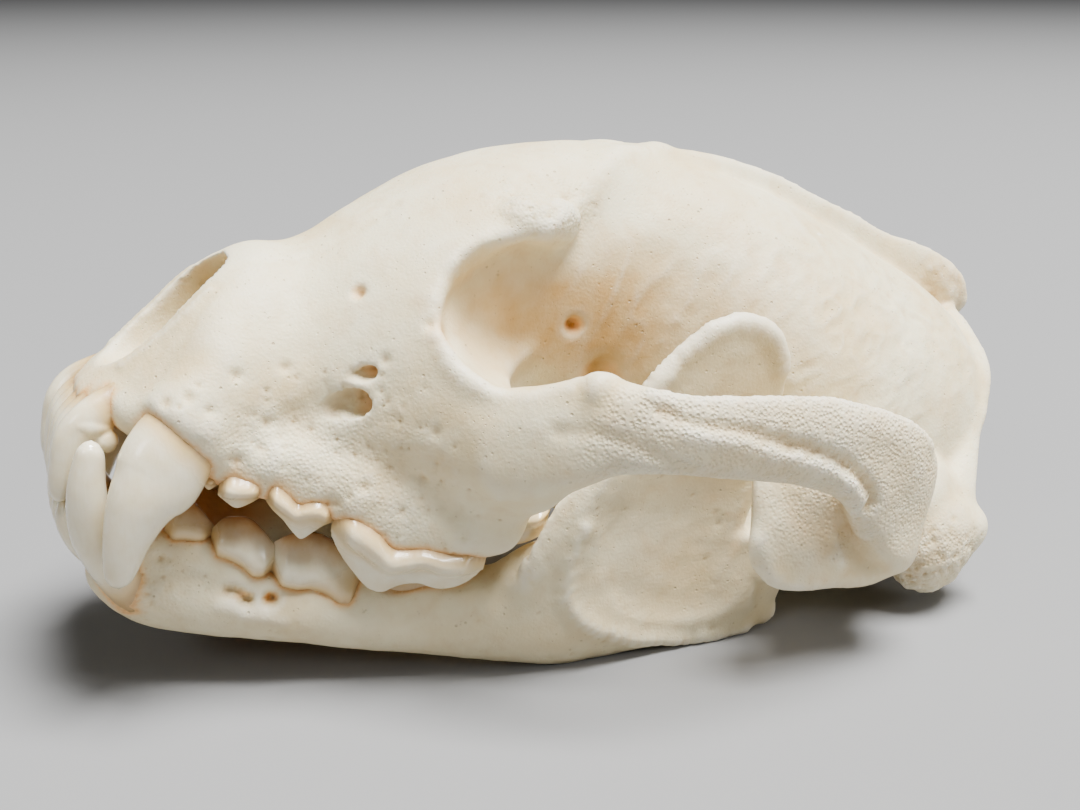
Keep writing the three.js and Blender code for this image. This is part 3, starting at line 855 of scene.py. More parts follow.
def ramus_plate():
    """The upright plate that the jaw muscles pull on."""
    return limb_form("ramus_plate", [
        (83.6, -30, -11.6, 1.6, 9),
        (83, -30, -8.6, 2.4, 15.4),
        (81.6, -30, -3, 2.4, 19.4),
        (81.8, -30.6, 6, 2.4, 17.6),
        (84.4, -31.4, 16, 2.3, 13.6),
        (85.6, -32, 26, 2.2, 12.4),
        (86.8, -32.6, 33.4, 2, 9.8),
        (87, -33, 38, 1.7, 6.8),
        (87, -33, 40.3, 0.8, 3),
    ], sides=36, bands=70, lean=(1, 0, 0))


def angular_hook():
    """The small hook at the lower rear corner."""
    return limb_form("angular_hook", [
        (88, -30.4, -8, 2, 5.6),
        (97, -30.8, -5.6, 2, 5.6),
        (102.6, -31, -5.8, 1.7, 4.2),
        (107.4, -31, -7, 1, 1.9),
    ])


def knuckle_neck():
    return limb_form("knuckle_neck", [
        (92, -30.6, 1, 2.4, 5),
        (98, -31.2, 2.6, 2.8, 4.4),
        (KNUCKLE_BACK, -31.4, KNUCKLE_UP, 3.4, 3.6),
    ])


def rear_border():
    return limb_form("rear_border", [
        (100.6, -31.2, 4, 2, 4),
        (103, -31.2, 0, 1.8, 4),
        (103.6, -31, -4.4, 1.6, 3.6),
    ], lean=(1, 0, 0))


CHIN_GAP = 0.3              # gap between the two halves of the lower jaw


def cut_at_chin(jaw):
    """Keep the left half, closed where the two halves meet at the chin."""
    pick(jaw)
    bpy.ops.object.mode_set(mode="EDIT")
    bpy.ops.mesh.select_all(action="SELECT")
    bpy.ops.mesh.bisect(plane_co=(0, -CHIN_GAP / 2, 0), plane_no=(0, 1, 0), use_fill=True, clear_outer=True)
    bpy.ops.object.mode_set(mode="OBJECT")
    return jaw


def jaw_half():
    jaw = weld("mandible_bone", [
        jaw_body(), lower_gum_margin(), ramus_plate(), angular_hook(), knuckle_neck(), rear_border(),
        knuckle(),
    ], FINE)
    carve(jaw, [lump("muscle_hollow", (87, -41.2, 4.4), (25, 10, 26), -4)])
    jaw = weld("mandible_bone", [jaw], FINE)
    soften(jaw, 4)
    work_jaw(jaw)
    return cut_at_chin(jaw)


def work_jaw(bone):
    """Ridges, hollows, holes and roughness of one half of the lower jaw."""
    skin = Skin(bone, sides=(1,))
    skin.stroke([(62.5, -28.9, -5), (64.6, -30.6, 0), (67, -31.8, 6), (69.4, -32.3, 13),
                 (72.4, -32.4, 21), (75, -32.6, 29)], 2.2, 0.9)
    skin.stroke([(74, -33, 28), (77.6, -33.4, 34), (81.4, -33.8, 38), (86, -34, 39.8),
                 (91, -33.8, 38.4), (94.6, -33.4, 34)], 1.7, 0.9)
    skin.stroke([(69, -32, 6), (68.2, -32, 1), (69, -32, -5), (72, -32, -8.6), (77, -32, -10.8),
                 (86, -31.9, -12), (95, -31.7, -11.4), (102, -31.4, -9.6)], 1.5, 1)
    skin.settle()
    skin.stroke([(80, -31, 30), (84, -31, 22), (85, -31, 10)], 5, -0.5)
    skin.stroke([(76, -31, -4), (86, -31, -6.4), (94, -31, -5.6)], 3.4, -0.6)
    skin.stroke([(73, -31, 0), (74, -31, 8)], 2.4, -0.4)
    skin.stroke([(22, -17.6, -15.6), (26, -18.6, -16), (31, -19.8, -16)], 1.2, 0.35)
    skin.stroke([(23, -17.6, -13.2), (25.4, -18.2, -14)], 0.8, -1.1)
    skin.pits([(25.6, -18.2, -14.1)], 0.8, 1.2)
    skin.pits([(28.7, -19, -13.8), (28.9, -18.8, -13.8)], 0.72, 1.6)
    skin.pits([(13.8, -12.9, -10.1)], 0.6, 0.6)
    chin = zone(skin.co, (14, -10, -14), (14, 10, 9), 0.6)
    plate = zone(skin.co, (86, -34, 8), (24, 8, 34), 0.4)
    skin.roughen(1, 7, 0.14, 61)
    skin.roughen(chin, 1.5, 0.14, 63, along=(1, 0, -0.35))
    skin.wrinkle(plate, 3.4, 0.12, 67, (0.5, 0, 0.86))
    skin.scatter(chin + 0.15, 260, 0.4, 0.2, 9)
    skin.settle()


# Teeth: each is drawn from its root, sunk in the bone, to its worn tip

ROOT_DEPTH = 3.4            # how deep a cheek tooth is sunk in the bone
GIRDLE_SWELL = 0.3          # how much its girdle stands out, in parts of its width


def crown(name, rows, grow, slim=0.8, recess=0.3):
    """A cheek tooth drawn along the tooth row, growing up (1) or down (-1). Rows: x and y
    of its middle, height of the gum, height where its swollen girdle ends, height of the
    tip, and half width. Over the girdle it draws in by recess, and by slim at the tip."""
    rows = np.asarray(rows, float)
    piece = rod(name, 60, 72)
    co = points_of(piece)
    place = rows[0, 0] + (rows[-1, 0] - rows[0, 0]) * (co[:, 2] + 0.5)
    middle, gum, girdle, tip, half = smooth_line(rows[:, 0], rows[:, 1:], place).T
    ahead = rows[-1, :2] - rows[0, :2]
    ahead /= np.linalg.norm(ahead)
    start = gum - grow * ROOT_DEPTH
    height = start + (tip - start) * (0.5 + 0.5 * bulge(co[:, 1], 2.4))
    beyond = (height - gum) * grow
    ridge = np.maximum((girdle - gum) * grow, 0.4)
    blade = np.clip((beyond - ridge) / np.maximum((tip - girdle) * grow, 0.6), 0, 1)
    width = np.clip(1 + 0.45 * np.minimum(beyond, 0), 0.5, 1)
    width += GIRDLE_SWELL * np.sin(math.pi * np.clip(beyond / ridge, 0, 1))
    width *= 1 - recess * np.clip(5 * blade, 0, 1) - (slim - recess) * blade
    ends = np.clip(7 * (0.5 - np.abs(co[:, 2])), 0, 1) ** 0.5
    across = half * width * ends * bulge(co[:, 0], 2.6)
    move_points(piece, np.column_stack([
        place - ahead[1] * across, middle + ahead[0] * across, height,
    ]))
    return outward(piece)


def fuse(name, forms):
    """Blend the lobes of one tooth."""
    return soften(weld(name, forms, TOOTH_GRAIN), 3)


def upper_front_teeth():
    teeth = [limb_form("upper_canine", [
        (19, -13, 16, 3.4, 3.6),
        (14.6, -15.6, 11.5, 3.9, 5),
        (11.8, -17.5, 7, 4.2, 6),
        (10.3, -18.4, 3, 4, 6),
        (8.9, -18.8, 0.2, 3.8, 4.9),
        (8.1, -18.9, -2.4, 3.5, 4.1),
        (7.5, -18.9, -6, 3, 3.2),
        (7.35, -18.8, -9.8, 2.3, 2.4),
        (7.4, -18.75, -12, 1.5, 1.6),
        (7.6, -18.7, -13.2, 0.1, 0.1),
    ], sides=44, bands=90, lean=(1, 0, 0))]
    rows = [(1.9, -1, -4.4, 1.7, 2.1), (5, -0.8, -4.8, 1.9, 2.3), (9.3, -0.7, -4.6, 2.3, 2.8)]
    for number, (side, x, low, half, deep) in enumerate(rows, 1):
        blade = limb_form("blade", [
            (x + 7, -side * 0.86, 12, half * 0.7, deep * 0.8),
            (x + 3, -side, 8.2, half * 0.9, deep * 1.05),
            (x + 0.8, -side, 5, half, deep),
            (x + 0.2, -side, 1, half, deep * 0.84),
            (x - 0.1, -side * 0.98, low + 2.4, half * 0.9, deep * 0.62),
            (x, -side * 0.97, low + 0.7, half * 0.6, deep * 0.4),
            (x + 0.1, -side * 0.96, low, half * 0.1, deep * 0.1),
        ], sides=28, bands=50, lean=(1, 0, 0))
        lobes = [blade, lump("heel", (x + 2.4, -side * 1.04, 7), (deep * 1.15, half * 0.95, 1.7))]
        if number == 3:
            lobes.append(lump("rear_lobe", (x + 4.8, -side * 1.12, 5.2), (1.7, 1.5, 1.7)))
        teeth.append(fuse(f"upper_incisor_{number}", lobes))
    return teeth


def upper_cheek_teeth():
    peg = [
        (16.5, -17.4, 4, 3.2, 2.7, 0.5),
        (17.6, -17.5, 3.9, 2.8, 1.8, 1.1),
        (18.7, -17.7, 4, 3.2, 2.7, 0.5),
    ]
    second = [
        (18.7, -18.5, 3.2, 1.8, 1.5, 0.9),
        (19.8, -18.8, 3.8, 1.7, 0.8, 1.9),
        (21.4, -19, 3.9, 2, 0, 2.1),
        (23.2, -19.3, 4, 2.2, 0.9, 1.9),
        (24.7, -19.6, 3.6, 2.6, 2.2, 0.9),
    ]
    third = [
        (24.8, -19.8, 4, 2.7, 2.2, 0.9),
        (26, -20.2, 3.8, 1.9, 0.8, 2),
        (28, -20.6, 2.8, 0.7, -0.8, 2.2),
        (29.6, -20.9, 1.8, 0.1, -2.4, 2),
        (30.8, -21.1, 2.5, 0.5, -3.2, 2.3),
        (32.4, -21.5, 2.9, 0.9, -1.8, 2.4),
        (34, -22, 2.2, 0.3, -0.3, 1.9),
        (34.9, -22.3, 1.7, 0.4, 0.1, 0.9),
    ]
    blade = [
        (34.4, -22.3, 2.4, -0.6, -1.6, 1.4),
        (36.2, -22.9, 2.1, -1.4, -4.2, 2.9),
        (38.6, -23.7, 1.4, -2.4, -6.8, 3.2),
        (41.2, -24.6, 0.2, -3.8, -8.9, 3.2),
        (43, -25.2, -1.6, -4.7, -9, 3.1),
        (45, -25.8, -1.5, -4.4, -7.6, 3),
        (47.4, -26.6, -0.8, -3.3, -6.8, 3),
        (50.6, -27.7, -0.9, -3.7, -7, 3),
        (54, -28.9, -0.2, -3.1, -5.2, 2.6),
        (56, -29.5, 0.1, -2.2, -2.9, 1.2),
    ]
    molar = [
        (58.2, -27.2, 0.6, -0.6, -1, 1.4),
        (59, -24, 1, -0.8, -1.6, 3.2),
        (60, -19, 1.4, -0.4, -1, 3.8),
        (60.8, -15.8, 1.6, 0.4, 0.2, 2),
    ]
    carnassial = fuse("upper_carnassial", [
        crown("blade", blade, -1),
        lump("inner_lobe", (38.6, -19, 0.4), (3.4, 3.4, 3.4)),
    ])
    return [
        crown("upper_premolar_1", peg, -1),
        crown("upper_premolar_2", second, -1),
        crown("upper_premolar_3", third, -1),
        carnassial,
        turned_crown("upper_molar", molar),
    ]


def turned_crown(name, rows):
    """The last upper tooth lies across the palate: its row is drawn along y instead."""
    turned = [(-y, x, gum, girdle, tip, half) for x, y, gum, girdle, tip, half in reversed(rows)]
    piece = crown(name, turned, -1)
    co = points_of(piece)
    move_points(piece, np.column_stack([co[:, 1], -co[:, 0], co[:, 2]]))
    return outward(piece)


def lower_front_teeth():
    root = -17.6
    tip = root + 24
    teeth = [limb_form("lower_canine", [
        (12, -10.6, root, 3.2, 3.4),
        (7.8, -12, -12.6, 3.2, 3.6),
        (4, -13.4, -7.4, 2.8, 3.2),
        (2.1, -14.2, -1.4, 2.6, 2.7),
        (1.7, -14.4, tip - 2.4, 1.9, 2),
        (1.62, -14.4, tip - 0.7, 1.2, 1.2),
        (1.6, -14.4, tip, 0.1, 0.1),
    ], sides=36, bands=64, lean=(1, 0, 0))]
    rows = [(1.7, 2, 1.5, 1.7), (4.7, 2.2, 1.6, 1.8), (7.9, 2.6, 1.9, 2)]
    for number, (side, x, half, deep) in enumerate(rows, 1):
        teeth.append(limb_form(f"lower_incisor_{number}", [
            (x + 6, -side * 0.86, -15.6, half * 0.8, deep),
            (x + 1, -side, -11.4, half, deep),
            (x - 1.6, -side, -8, half, deep * 0.85),
            (x - 2.4, -side, -5.8, half * 0.8, deep * 0.5),
            (x - 2.5, -side, -4.6, half * 0.1, deep * 0.1),
        ], sides=28, bands=50, lean=(1, 0, 0)))
    return teeth


def lower_cheek_teeth():
    second = [
        (13.6, -12.2, -6.8, -5.6, -5, 0.8),
        (14.8, -12.5, -7.3, -4.6, -3, 1.7),
        (16.6, -12.8, -7.1, -4.2, -2, 1.9),
        (18.8, -13.2, -7, -4.8, -3.6, 1.8),
        (20.2, -13.5, -6.6, -5.6, -5, 0.8),
    ]
    third = [
        (19.8, -14.1, -6.8, -5.8, -5.2, 0.8),
        (20.9, -14.5, -8, -5, -3.6, 2),
        (22.7, -15, -8.3, -4.8, -2.9, 2.4),
        (24.7, -15.5, -9.2, -5.4, -2.9, 2.3),
        (26.8, -16, -10.4, -6.8, -4.4, 2.5),
        (28.4, -16.4, -9.6, -7.2, -6, 1.8),
        (29.2, -16.6, -8.4, -7.4, -6.8, 0.7),
    ]
    fourth = [
        (28.5, -16.4, -8.4, -6.6, -5.8, 0.8),
        (29.7, -16.8, -10.2, -6, -4.8, 2.4),
        (32.2, -17.4, -11.3, -6.4, -3.6, 2.9),
        (34.8, -18, -11.1, -6.6, -3.6, 2.7),
        (36.8, -18.5, -11.7, -7.4, -4.4, 2.8),
        (39.3, -19.1, -13.2, -8.6, -5.8, 3),
        (41.4, -19.6, -12.4, -9.6, -7.8, 2.1),
        (42.2, -19.8, -10.8, -9.6, -8.8, 0.8),
    ]
    blade = [
        (42.5, -19.6, -10.4, -8, -7.2, 1),
        (45.6, -20.2, -10.8, -7, -3.8, 2.6),
        (51, -21.2, -10, -5.6, -1.2, 2.8),
        (56.4, -22.4, -9, -5.4, -4, 2.6),
        (61, -23.2, -7.4, -6, -5.4, 1.2),
    ]
    last = [
        (61.2, -26.4, 3.4, 4.4, 4.8, 0.8),
        (63.2, -26.9, 4.4, 6, 7.4, 2.4),
        (65.4, -27.4, 6, 7, 7.4, 0.8),
    ]
    return [
        crown("lower_premolar_2", second, 1, slim=0.35, recess=0),
        crown("lower_premolar_3", third, 1, slim=0.35, recess=0),
        crown("lower_premolar_4", fourth, 1, slim=0.35, recess=0),
        crown("lower_carnassial", blade, 1),
        crown("lower_molar", last, 1, slim=0.4, recess=0),
    ]


# Materials. Colours are linear red, green and blue.

# In both bones, tan is the bone's own tan tone and also the colour of painted shade in the hollows
SKULL_BONE = {
    "pale": (0.82, 0.74, 0.50),
    "cream": (0.76, 0.62, 0.35),
    "tan": (0.58, 0.35, 0.12),
    "roughness": 0.46,
}
JAW_BONE = {
    "pale": (0.79, 0.70, 0.46),
    "cream": (0.72, 0.59, 0.34),
    "tan": (0.57, 0.37, 0.15),
    "roughness": 0.44,
}
OPEN_GRAIN = (0.66, 0.57, 0.42)
# Painted shade for sunken skin and a painted highlight for raised skin
PAINTED_HOLLOW_SHADE = (0.52, 0.34, 0.15)
PAINTED_RIDGE_HIGHLIGHT = (0.87, 0.82, 0.68)
SPECK_BROWN = (0.45, 0.34, 0.21)
AMBER = (0.82, 0.48, 0.18)
DEEP_AMBER = (0.58, 0.22, 0.04)
ENAMEL_WHITE = (0.87, 0.80, 0.60)
ENAMEL_CREAM = (0.80, 0.69, 0.46)
ENAMEL_STREAK = (0.72, 0.60, 0.38)
WORN_TAN = (0.46, 0.25, 0.09)
GUM_YELLOW = (0.68, 0.47, 0.19)
GUM_BROWN = (0.42, 0.23, 0.08)


class Finish:
    """A material in the making, with short ways to add and join its nodes."""

    def __init__(self, name):
        self.material = bpy.data.materials.new(name)
        self.material.use_nodes = True
        self.tree = self.material.node_tree
        self.shader = self.tree.nodes["Principled BSDF"]
        self.where = self.add("ShaderNodeTexCoord").outputs["Object"]

    def feed(self, socket, value):
        if isinstance(value, bpy.types.NodeSocket):
            self.tree.links.new(value, socket)
        elif isinstance(value, tuple) and len(value) == 3 and socket.type == "RGBA":
            socket.default_value = (*value, 1)
        else:
            socket.default_value = value

    def add(self, kind, inputs=None, **settings):
        made = self.tree.nodes.new(kind)
        for name, value in settings.items():
            setattr(made, name, value)
        for name, value in (inputs or {}).items():
            self.feed(made.inputs[name], value)
        return made

    def noise(self, size, detail=3.0, where=None):
        inputs = {"Vector": where or self.where, "Scale": 1 / (size * MM), "Detail": detail}
        return self.add("ShaderNodeTexNoise", inputs).outputs["Fac"]

    def cells(self, size):
        inputs = {"Vector": self.where, "Scale": 1 / (size * MM)}
        return self.add("ShaderNodeTexVoronoi", inputs).outputs["Distance"]

    def mark(self, name):
        return self.add("ShaderNodeAttribute", attribute_name=name).outputs["Fac"]

    def combine(self, operation, one, two):
        return self.add("ShaderNodeMath", {0: one, 1: two}, operation=operation).outputs[0]

    def remap(self, value, low, high, bottom=0.0, top=1.0):
        inputs = {"Value": value, "From Min": low, "From Max": high, "To Min": bottom, "To Max": top}
        return self.add("ShaderNodeMapRange", inputs).outputs["Result"]

    def blend(self, share, one, two):
        """One colour, with a share of another laid over it."""
        made = self.add("ShaderNodeMix", data_type="RGBA")
        for socket, value in ((0, share), (6, one), (7, two)):
            self.feed(made.inputs[socket], value)
        return made.outputs[2]

    def bump(self, height, depth, strength, normal=None):
        inputs = {"Height": height, "Distance": depth * MM, "Strength": strength}
        if normal:
            inputs["Normal"] = normal
        return self.add("ShaderNodeBump", inputs).outputs["Normal"]

    def give(self, **inputs):
        """Give the shader its values and patterns."""
        for name, value in inputs.items():
            self.feed(self.shader.inputs[name.replace("_", " ")], value)


def bone_specks(look):
    """Dark pinholes of two sizes, gathered in patches."""
    large = look.remap(look.cells(1.7), 0.15, 0.06)
    large = look.combine("MULTIPLY", large, look.remap(look.noise(6, 2), 0.46, 0.6))
    small = look.remap(look.cells(0.75), 0.2, 0.08, 0, 0.7)
    small = look.combine("MULTIPLY", small, look.remap(look.noise(3.4, 2), 0.5, 0.64))
    return look.combine("MAXIMUM", large, small)


def bone_grain(look, fine, pore, specks):
    """Fine grain, open pores and pinholes over soft streaks."""
    stipple = look.remap(look.cells(0.6), 0.1, 0.6)
    open_pores = look.combine("MULTIPLY", stipple, look.remap(pore, 0, 1, 0.1, 1.2))
    height = look.combine("ADD", look.combine("MULTIPLY", fine, 0.45), open_pores)
    height = look.combine("SUBTRACT", height, specks)
    streaked = look.bump(look.noise(1.6, 3), 0.22, 0.35)
    return look.bump(height, 0.16, 0.9, streaked)


def bone_finish(name, bone):
    """Dry cleaned bone. Marks: tan, painted shade in the orbit, temple and jaw joint and the bone's own
    tan tone elsewhere; amber in holes and gums; hollow, how sunken the skin is (0.5 is level), giving
    painted shade where sunken and a painted highlight where raised; pore where it is open-grained."""
    look = Finish(name)
    hollow = look.mark("hollow")
    pore = look.mark("pore")
    amber = look.mark("amber")
    clouds = look.noise(3.2, 5)
    fine = look.noise(0.45, 4)
    specks = bone_specks(look)
    base = look.blend(look.remap(look.noise(14, 4), 0.38, 0.64), bone["pale"], bone["cream"])
    base = look.blend(look.remap(clouds, 0.5, 0.78, 0, 0.3), base, bone["tan"])
    # Painted shade: the tan colour laid where the tan mark is high, in the orbit, temple and jaw joint
    shade = look.combine("MULTIPLY", look.mark("tan"), look.remap(clouds, 0.3, 0.7, 0.7, 1))
    base = look.blend(shade, base, bone["tan"])
    base = look.blend(look.combine("MULTIPLY", pore, 0.35), base, OPEN_GRAIN)
    # Painted shade where the skin is sunken and a painted highlight where it is raised
    base = look.blend(look.remap(hollow, 0.54, 0.95, 0, 0.7), base, PAINTED_HOLLOW_SHADE)
    base = look.blend(look.remap(hollow, 0.48, 0.2, 0, 0.55), base, PAINTED_RIDGE_HIGHLIGHT)
    base = look.blend(look.combine("MULTIPLY", specks, 0.5), base, SPECK_BROWN)
    base = look.blend(look.remap(amber, 0, 0.55, 0, 0.75), base, AMBER)
    base = look.blend(look.remap(amber, 0.5, 1, 0, 0.9), base, DEEP_AMBER)
    satin = look.remap(fine, 0.3, 0.7, bone["roughness"], bone["roughness"] + 0.12)
    satin = look.combine("ADD", satin, look.combine("MULTIPLY", pore, 0.18))
    grain = bone_grain(look, fine, pore, specks)
    look.give(Base_Color=base, Roughness=satin, Normal=grain, IOR=1.5, Specular_IOR_Level=0.42)
    look.give(Subsurface_Weight=0.12, Subsurface_Radius=(1.0, 0.62, 0.34), Subsurface_Scale=1.6 * MM)
    return look.material


def enamel_finish():
    """Old teeth: glossy, off-white, yellow and brown at the gum, tan where they are worn."""
    look = Finish("enamel")
    gum = look.mark("gum")
    clouds = look.noise(4, 4)
    upright = look.add("ShaderNodeMapping", {"Vector": look.where, "Scale": (1.0, 1.0, 0.16)})
    streaks = look.noise(0.7, 3, upright.outputs["Vector"])
    base = look.blend(look.remap(clouds, 0.35, 0.68), ENAMEL_WHITE, ENAMEL_CREAM)
    base = look.blend(look.remap(streaks, 0.5, 0.75, 0, 0.25), base, ENAMEL_STREAK)
    worn = look.combine("MULTIPLY", look.mark("wear"), look.remap(clouds, 0.3, 0.65, 0.75, 1))
    base = look.blend(worn, base, WORN_TAN)
    base = look.blend(look.remap(gum, 0.1, 0.7, 0, 0.85), base, GUM_YELLOW)
    base = look.blend(look.remap(gum, 0.72, 0.98, 0, 0.85), base, GUM_BROWN)
    streaked = look.bump(streaks, 0.07, 0.5)
    grain = look.bump(look.noise(0.5, 4), 0.04, 0.4, streaked)
    gloss = look.remap(clouds, 0.3, 0.7, 0.16, 0.26)
    gloss = look.combine("ADD", gloss, look.combine("MULTIPLY", gum, 0.2))
    look.give(Base_Color=base, Roughness=gloss, Normal=grain, IOR=1.6)
    look.give(Subsurface_Weight=0.18, Subsurface_Radius=(1.0, 0.75, 0.5), Subsurface_Scale=1.2 * MM)
    look.give(Coat_Weight=0.4, Coat_Roughness=0.08)
    return look.material


# Marks that the materials read

TOOTH_ROW_TOP = 13          # the bone round the teeth lies below this height
TOOTH_ROW_END = 72          # and ahead of this place
GUM_STAIN = 0.55            # how far the stain spreads on the bone round a tooth
GUM_REACH = 3.0             # how far a tooth is yellowed beyond the bone
WEAR_DEPTH = 3.6            # how far the tan of a worn tip reaches down the tooth


def mark_bone(bone, tooth_tree, marks):
    """Keep the marks that the bone's material reads."""
    co = points_of(bone)
    near = np.flatnonzero((co[:, 2] < TOOTH_ROW_TOP) & (co[:, 0] < TOOTH_ROW_END))
    stain = np.zeros(len(co))
    stain[near] = np.exp(-(gap_to(tooth_tree, co[near], 1.6) / GUM_STAIN) ** 2) * 0.8
    tan, amber, pore = marks(co)
    # hollow: painted shade where sunken, painted highlight where raised; tan: painted shade in hollows
    paint(bone, "hollow", 0.5 + 0.5 * hollowness(bone))
    paint(bone, "tan", tan)
    paint(bone, "amber", np.maximum(amber, stain))
    paint(bone, "pore", pore)


def cranium_marks(co):
    """Tan painted shade in the orbit, temple, jaw joint and by the mastoid, tan tone at the crest tip,
    amber in holes, nose and palate, open grain on the arch, upper jaw, mastoid and brow."""
    # painted shade: tan in the orbit, temple and jaw joint hollows; the crest tip's tan is the bone's own
    # tone
    tan = (
        0.9 * zone(co, (60, -22, 33), (18, 11, 12), 0.5)
        + 0.9 * zone(co, (74, -16, 34), (15, 8, 16), 0.7)
        + 0.55 * zone(co, (94, -20, 38), (20, 12, 14), 0.9)
        + 0.5 * zone(co, (104, -40, 10), (12, 9, 12), 0.6)
        + 0.4 * zone(co, (124, -34, 8), (12, 9, 10), 0.6)
        + 0.5 * zone(co, (148, 0, 46.4), (12, 8, 9), 0.5)
    )
    amber = (
        0.95 * zone(co, OPTIC_HOLE, (1.9, 3, 1.7), 0.5)
        + 0.85 * zone(co, (75.2, -15.2, 24.4), (4.4, 4, 3.2), 0.8)
        + 0.5 * zone(co, (43.6, -25.6, 29.4), (3, 3, 4), 0.8)
        + 0.5 * zone(co, SNOUT_HOLE, (1.4, 1.6, 1.4), 0.6)
        + 0.5 * zone(co, (37.6, -21.2, 18.6), (4, 2.4, 3), 0.5)
        + 0.5 * zone(co, (36.6, -21.4, 22.8), (2.6, 1.6, 1.6), 0.5)
        + 0.42 * zone(co, (26, 0, 21.5), (15, 9.4, 10.4), 0.2)
        + 0.9 * zone(co, (38, 0, 1), (48, 22, 12), 0.25)
        + 0.3 * zone(co, (123, -34, 7), (5, 7, 4), 0.6)
    )
    pore = (
        zone(co, (86, -48, 22), (36, 8, 18), 0.25)
        + 0.4 * zone(co, (34, -24, 7), (26, 12, 13), 0.5)
        + 0.6 * zone(co, (131, -37, 6), (12, 9, 9), 0.3)
        + 0.5 * zone(co, (59, -17.5, 49.6), (12, 10, 6), 0.6)
    )
    return tan, amber, pore


def jaw_marks(co):
    """Tan painted shade in the muscle hollow of the upright plate, amber inside the mouth
    and in the nerve holes.
    """
    # painted shade: tan in the muscle hollow of the upright plate
    tan = (
        0.35 * zone(co, (88, -32, 24), (13, 6, 18), 0.5)
        + 0.3 * zone(co, (86, -34, 0), (16, 6, 12), 0.7)
    )
    amber = (
        0.7 * zone(co, (26, -5, -8), (30, 10.5, 10), 0.3)
        + 0.7 * zone(co, (25, -17.6, -13.9), (1.8, 1.4, 1), 0.7)
        + 0.9 * zone(co, (28.8, -18, -13.8), (1.2, 1.3, 1), 0.5)
        + 0.4 * zone(co, (95.6, -36, 7), (2, 5, 8), 0.8)
    )
    pore = 0.35 * zone(co, (14, -10, -14), (14, 10, 9), 0.6)
    return tan, amber, pore


def mark_teeth(teeth, bone):
    """Yellow the teeth near the bone, and wear the tips of the lower premolars."""
    bone_tree = tree_of(points_of(bone))
    for tooth in teeth:
        co = points_of(tooth)
        top = np.percentile(co[:, 2], 98)
        worn = tooth.name.startswith("lower_premolar")
        paint(tooth, "gum", 1 - gap_to(bone_tree, co, GUM_REACH) / GUM_REACH)
        paint(tooth, "wear", worn * np.clip(1.1 - (top - co[:, 2]) / WEAR_DEPTH, 0, 1))


# Laying the finished pieces in the resting pose

def lay(piece, solids, material):
    """Lay a piece, none of it below the table, and say which solids it stands for."""
    pick(piece)
    bpy.ops.object.shade_smooth()
    piece.data.transform(RESTING)
    co = points_of(piece)
    co[:, 2] = np.maximum(co[:, 2], 0)
    move_points(piece, co)
    piece.data.materials.clear()
    piece.data.materials.append(material)
    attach(piece, "root")
    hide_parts(*solids)


def lay_pair(piece, solid, material):
    """Lay a left piece and its mirror image. The solid's name may hold the side."""
    name = piece.name
    for half, side in ((piece, "left"), (other_side(piece), "right")):
        half.name = f"{name}_{side}"
        lay(half, [solid.format(side=side)], material)


def make_skull():
    """Model the left side's teeth and both bones, mark them and lay them all."""
    upper = upper_front_teeth() + upper_cheek_teeth()
    lower = lower_front_teeth() + lower_cheek_teeth()
    skull = cranium()
    work_cranium(skull)
    thin_out(skull)
    jaw = jaw_half()
    thin_out(jaw)

    upper_left = np.vstack([points_of(tooth) for tooth in upper])
    upper_tree = tree_of(np.vstack([upper_left, upper_left * (1, -1, 1)]))
    lower_tree = tree_of(np.vstack([points_of(tooth) for tooth in lower]))
    mark_bone(skull, upper_tree, cranium_marks)
    mark_bone(jaw, lower_tree, jaw_marks)
    mark_teeth(upper, skull)
    mark_teeth(lower, jaw)

    skull_bone = bone_finish("skull_bone", SKULL_BONE)
    jaw_bone = bone_finish("jaw_bone", JAW_BONE)
    enamel = enamel_finish()
    lay(skull, ["cranium", "zygomatic_arch_left", "zygomatic_arch_right"], skull_bone)
    lay_pair(jaw, "mandible_{side}", jaw_bone)
    for tooth in upper:
        lay_pair(tooth, "cranium", enamel)
    for tooth in lower:
        lay_pair(tooth, "mandible_{side}", enamel)


# Floor, light and camera, in metres

FLOOR_SIDE = 30
FLOOR_GREY = (0.22, 0.22, 0.22, 1)
SKY_COLOUR = (0.80, 0.82, 0.86, 1)
SKY_STRENGTH = 0.045
LAMP_AIM = Vector((0, 0, 0.03))
LAMPS = [                   # name, place, width, power in watts
    ("overhead", (0.36, 0.5, 2.4), 1.2, 270),
    ("window", (1.0, -1.7, 1.5), 0.7, 12),
    ("side", (1.2, 1.95, 1.0), 0.7, 20),
]

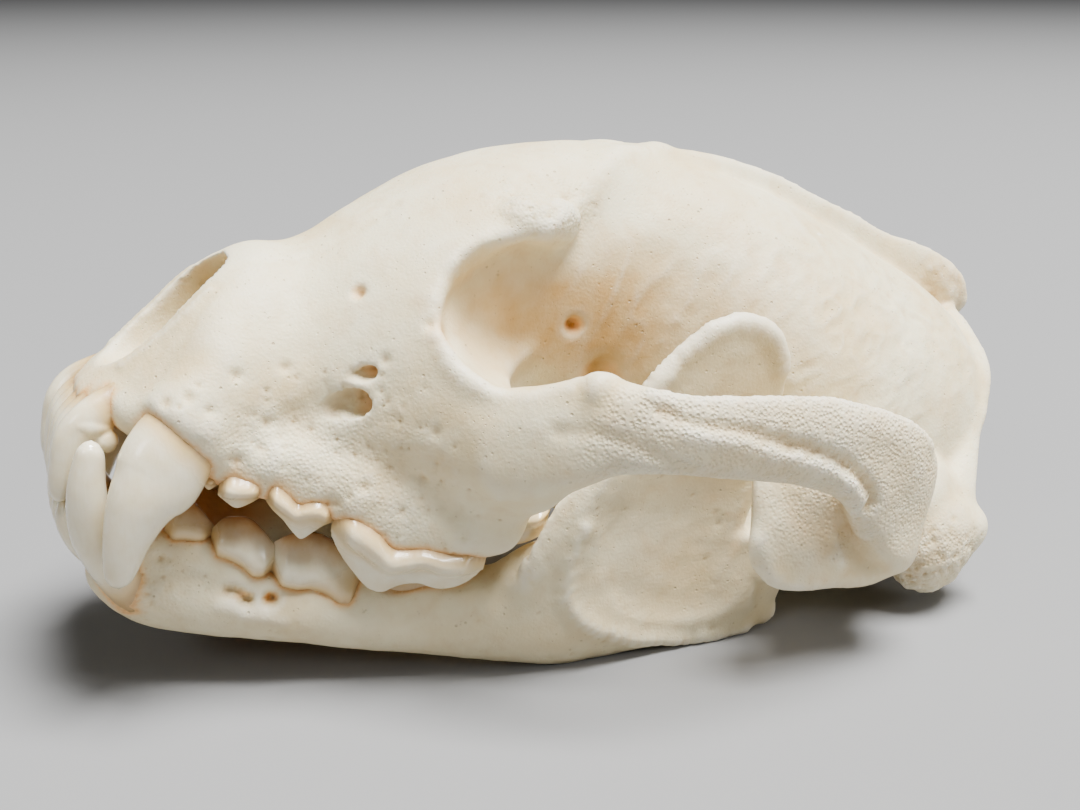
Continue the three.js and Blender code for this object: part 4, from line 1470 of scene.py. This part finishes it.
VIEW_TARGET = Vector((0, -0.0055, 0.0314))
VIEW_TURN = math.radians(67)        # from straight ahead of the nose towards the left side
VIEW_TILT = math.radians(19)
VIEW_DISTANCE = 0.2175
PHOTO_WIDTH = 1080                  # in the photo's pixels
PHOTO_LENS = 1300                   # its focal length, in the same pixels
SENSOR = 36                         # in millimetres


def stage():
    """The plain floor."""
    nothing_selected()
    bpy.ops.mesh.primitive_plane_add(size=FLOOR_SIDE, location=(0, 0, 0))
    floor = bpy.context.object
    floor.name = "floor"
    matt = bpy.data.materials.new("pale_floor")
    matt.use_nodes = True
    shader = matt.node_tree.nodes["Principled BSDF"]
    shader.inputs["Base Color"].default_value = FLOOR_GREY
    shader.inputs["Roughness"].default_value = 0.8
    floor.data.materials.append(matt)


def light():
    """A dim sky, a broad lamp overhead and two weak ones from the sides."""
    world = bpy.data.worlds.new("studio")
    world.use_nodes = True
    sky = world.node_tree.nodes["Background"]
    sky.inputs["Color"].default_value = SKY_COLOUR
    sky.inputs["Strength"].default_value = SKY_STRENGTH
    bpy.context.scene.world = world
    for name, place, width, power in LAMPS:
        lamp = bpy.data.objects.new(name, bpy.data.lights.new(name, "AREA"))
        lamp.data.size = width
        lamp.data.energy = power
        lamp.location = place
        lamp.rotation_euler = (LAMP_AIM - Vector(place)).to_track_quat("-Z", "Y").to_euler()
        bpy.context.collection.objects.link(lamp)


def camera():
    """The photo's view: from the left, a little ahead and above."""
    level = math.cos(VIEW_TILT)
    away = Vector((math.sin(VIEW_TURN) * level, -math.cos(VIEW_TURN) * level, math.sin(VIEW_TILT)))
    eye = bpy.data.objects.new("camera", bpy.data.cameras.new("camera"))
    eye.data.lens = SENSOR * PHOTO_LENS / PHOTO_WIDTH
    eye.data.sensor_width = SENSOR
    eye.data.clip_start = 0.01
    eye.location = VIEW_TARGET + away * VIEW_DISTANCE
    eye.rotation_euler = (-away).to_track_quat("-Z", "Y").to_euler()
    bpy.context.collection.objects.link(eye)
    bpy.context.scene.camera = eye


make_skull()
stage()
light()
camera()
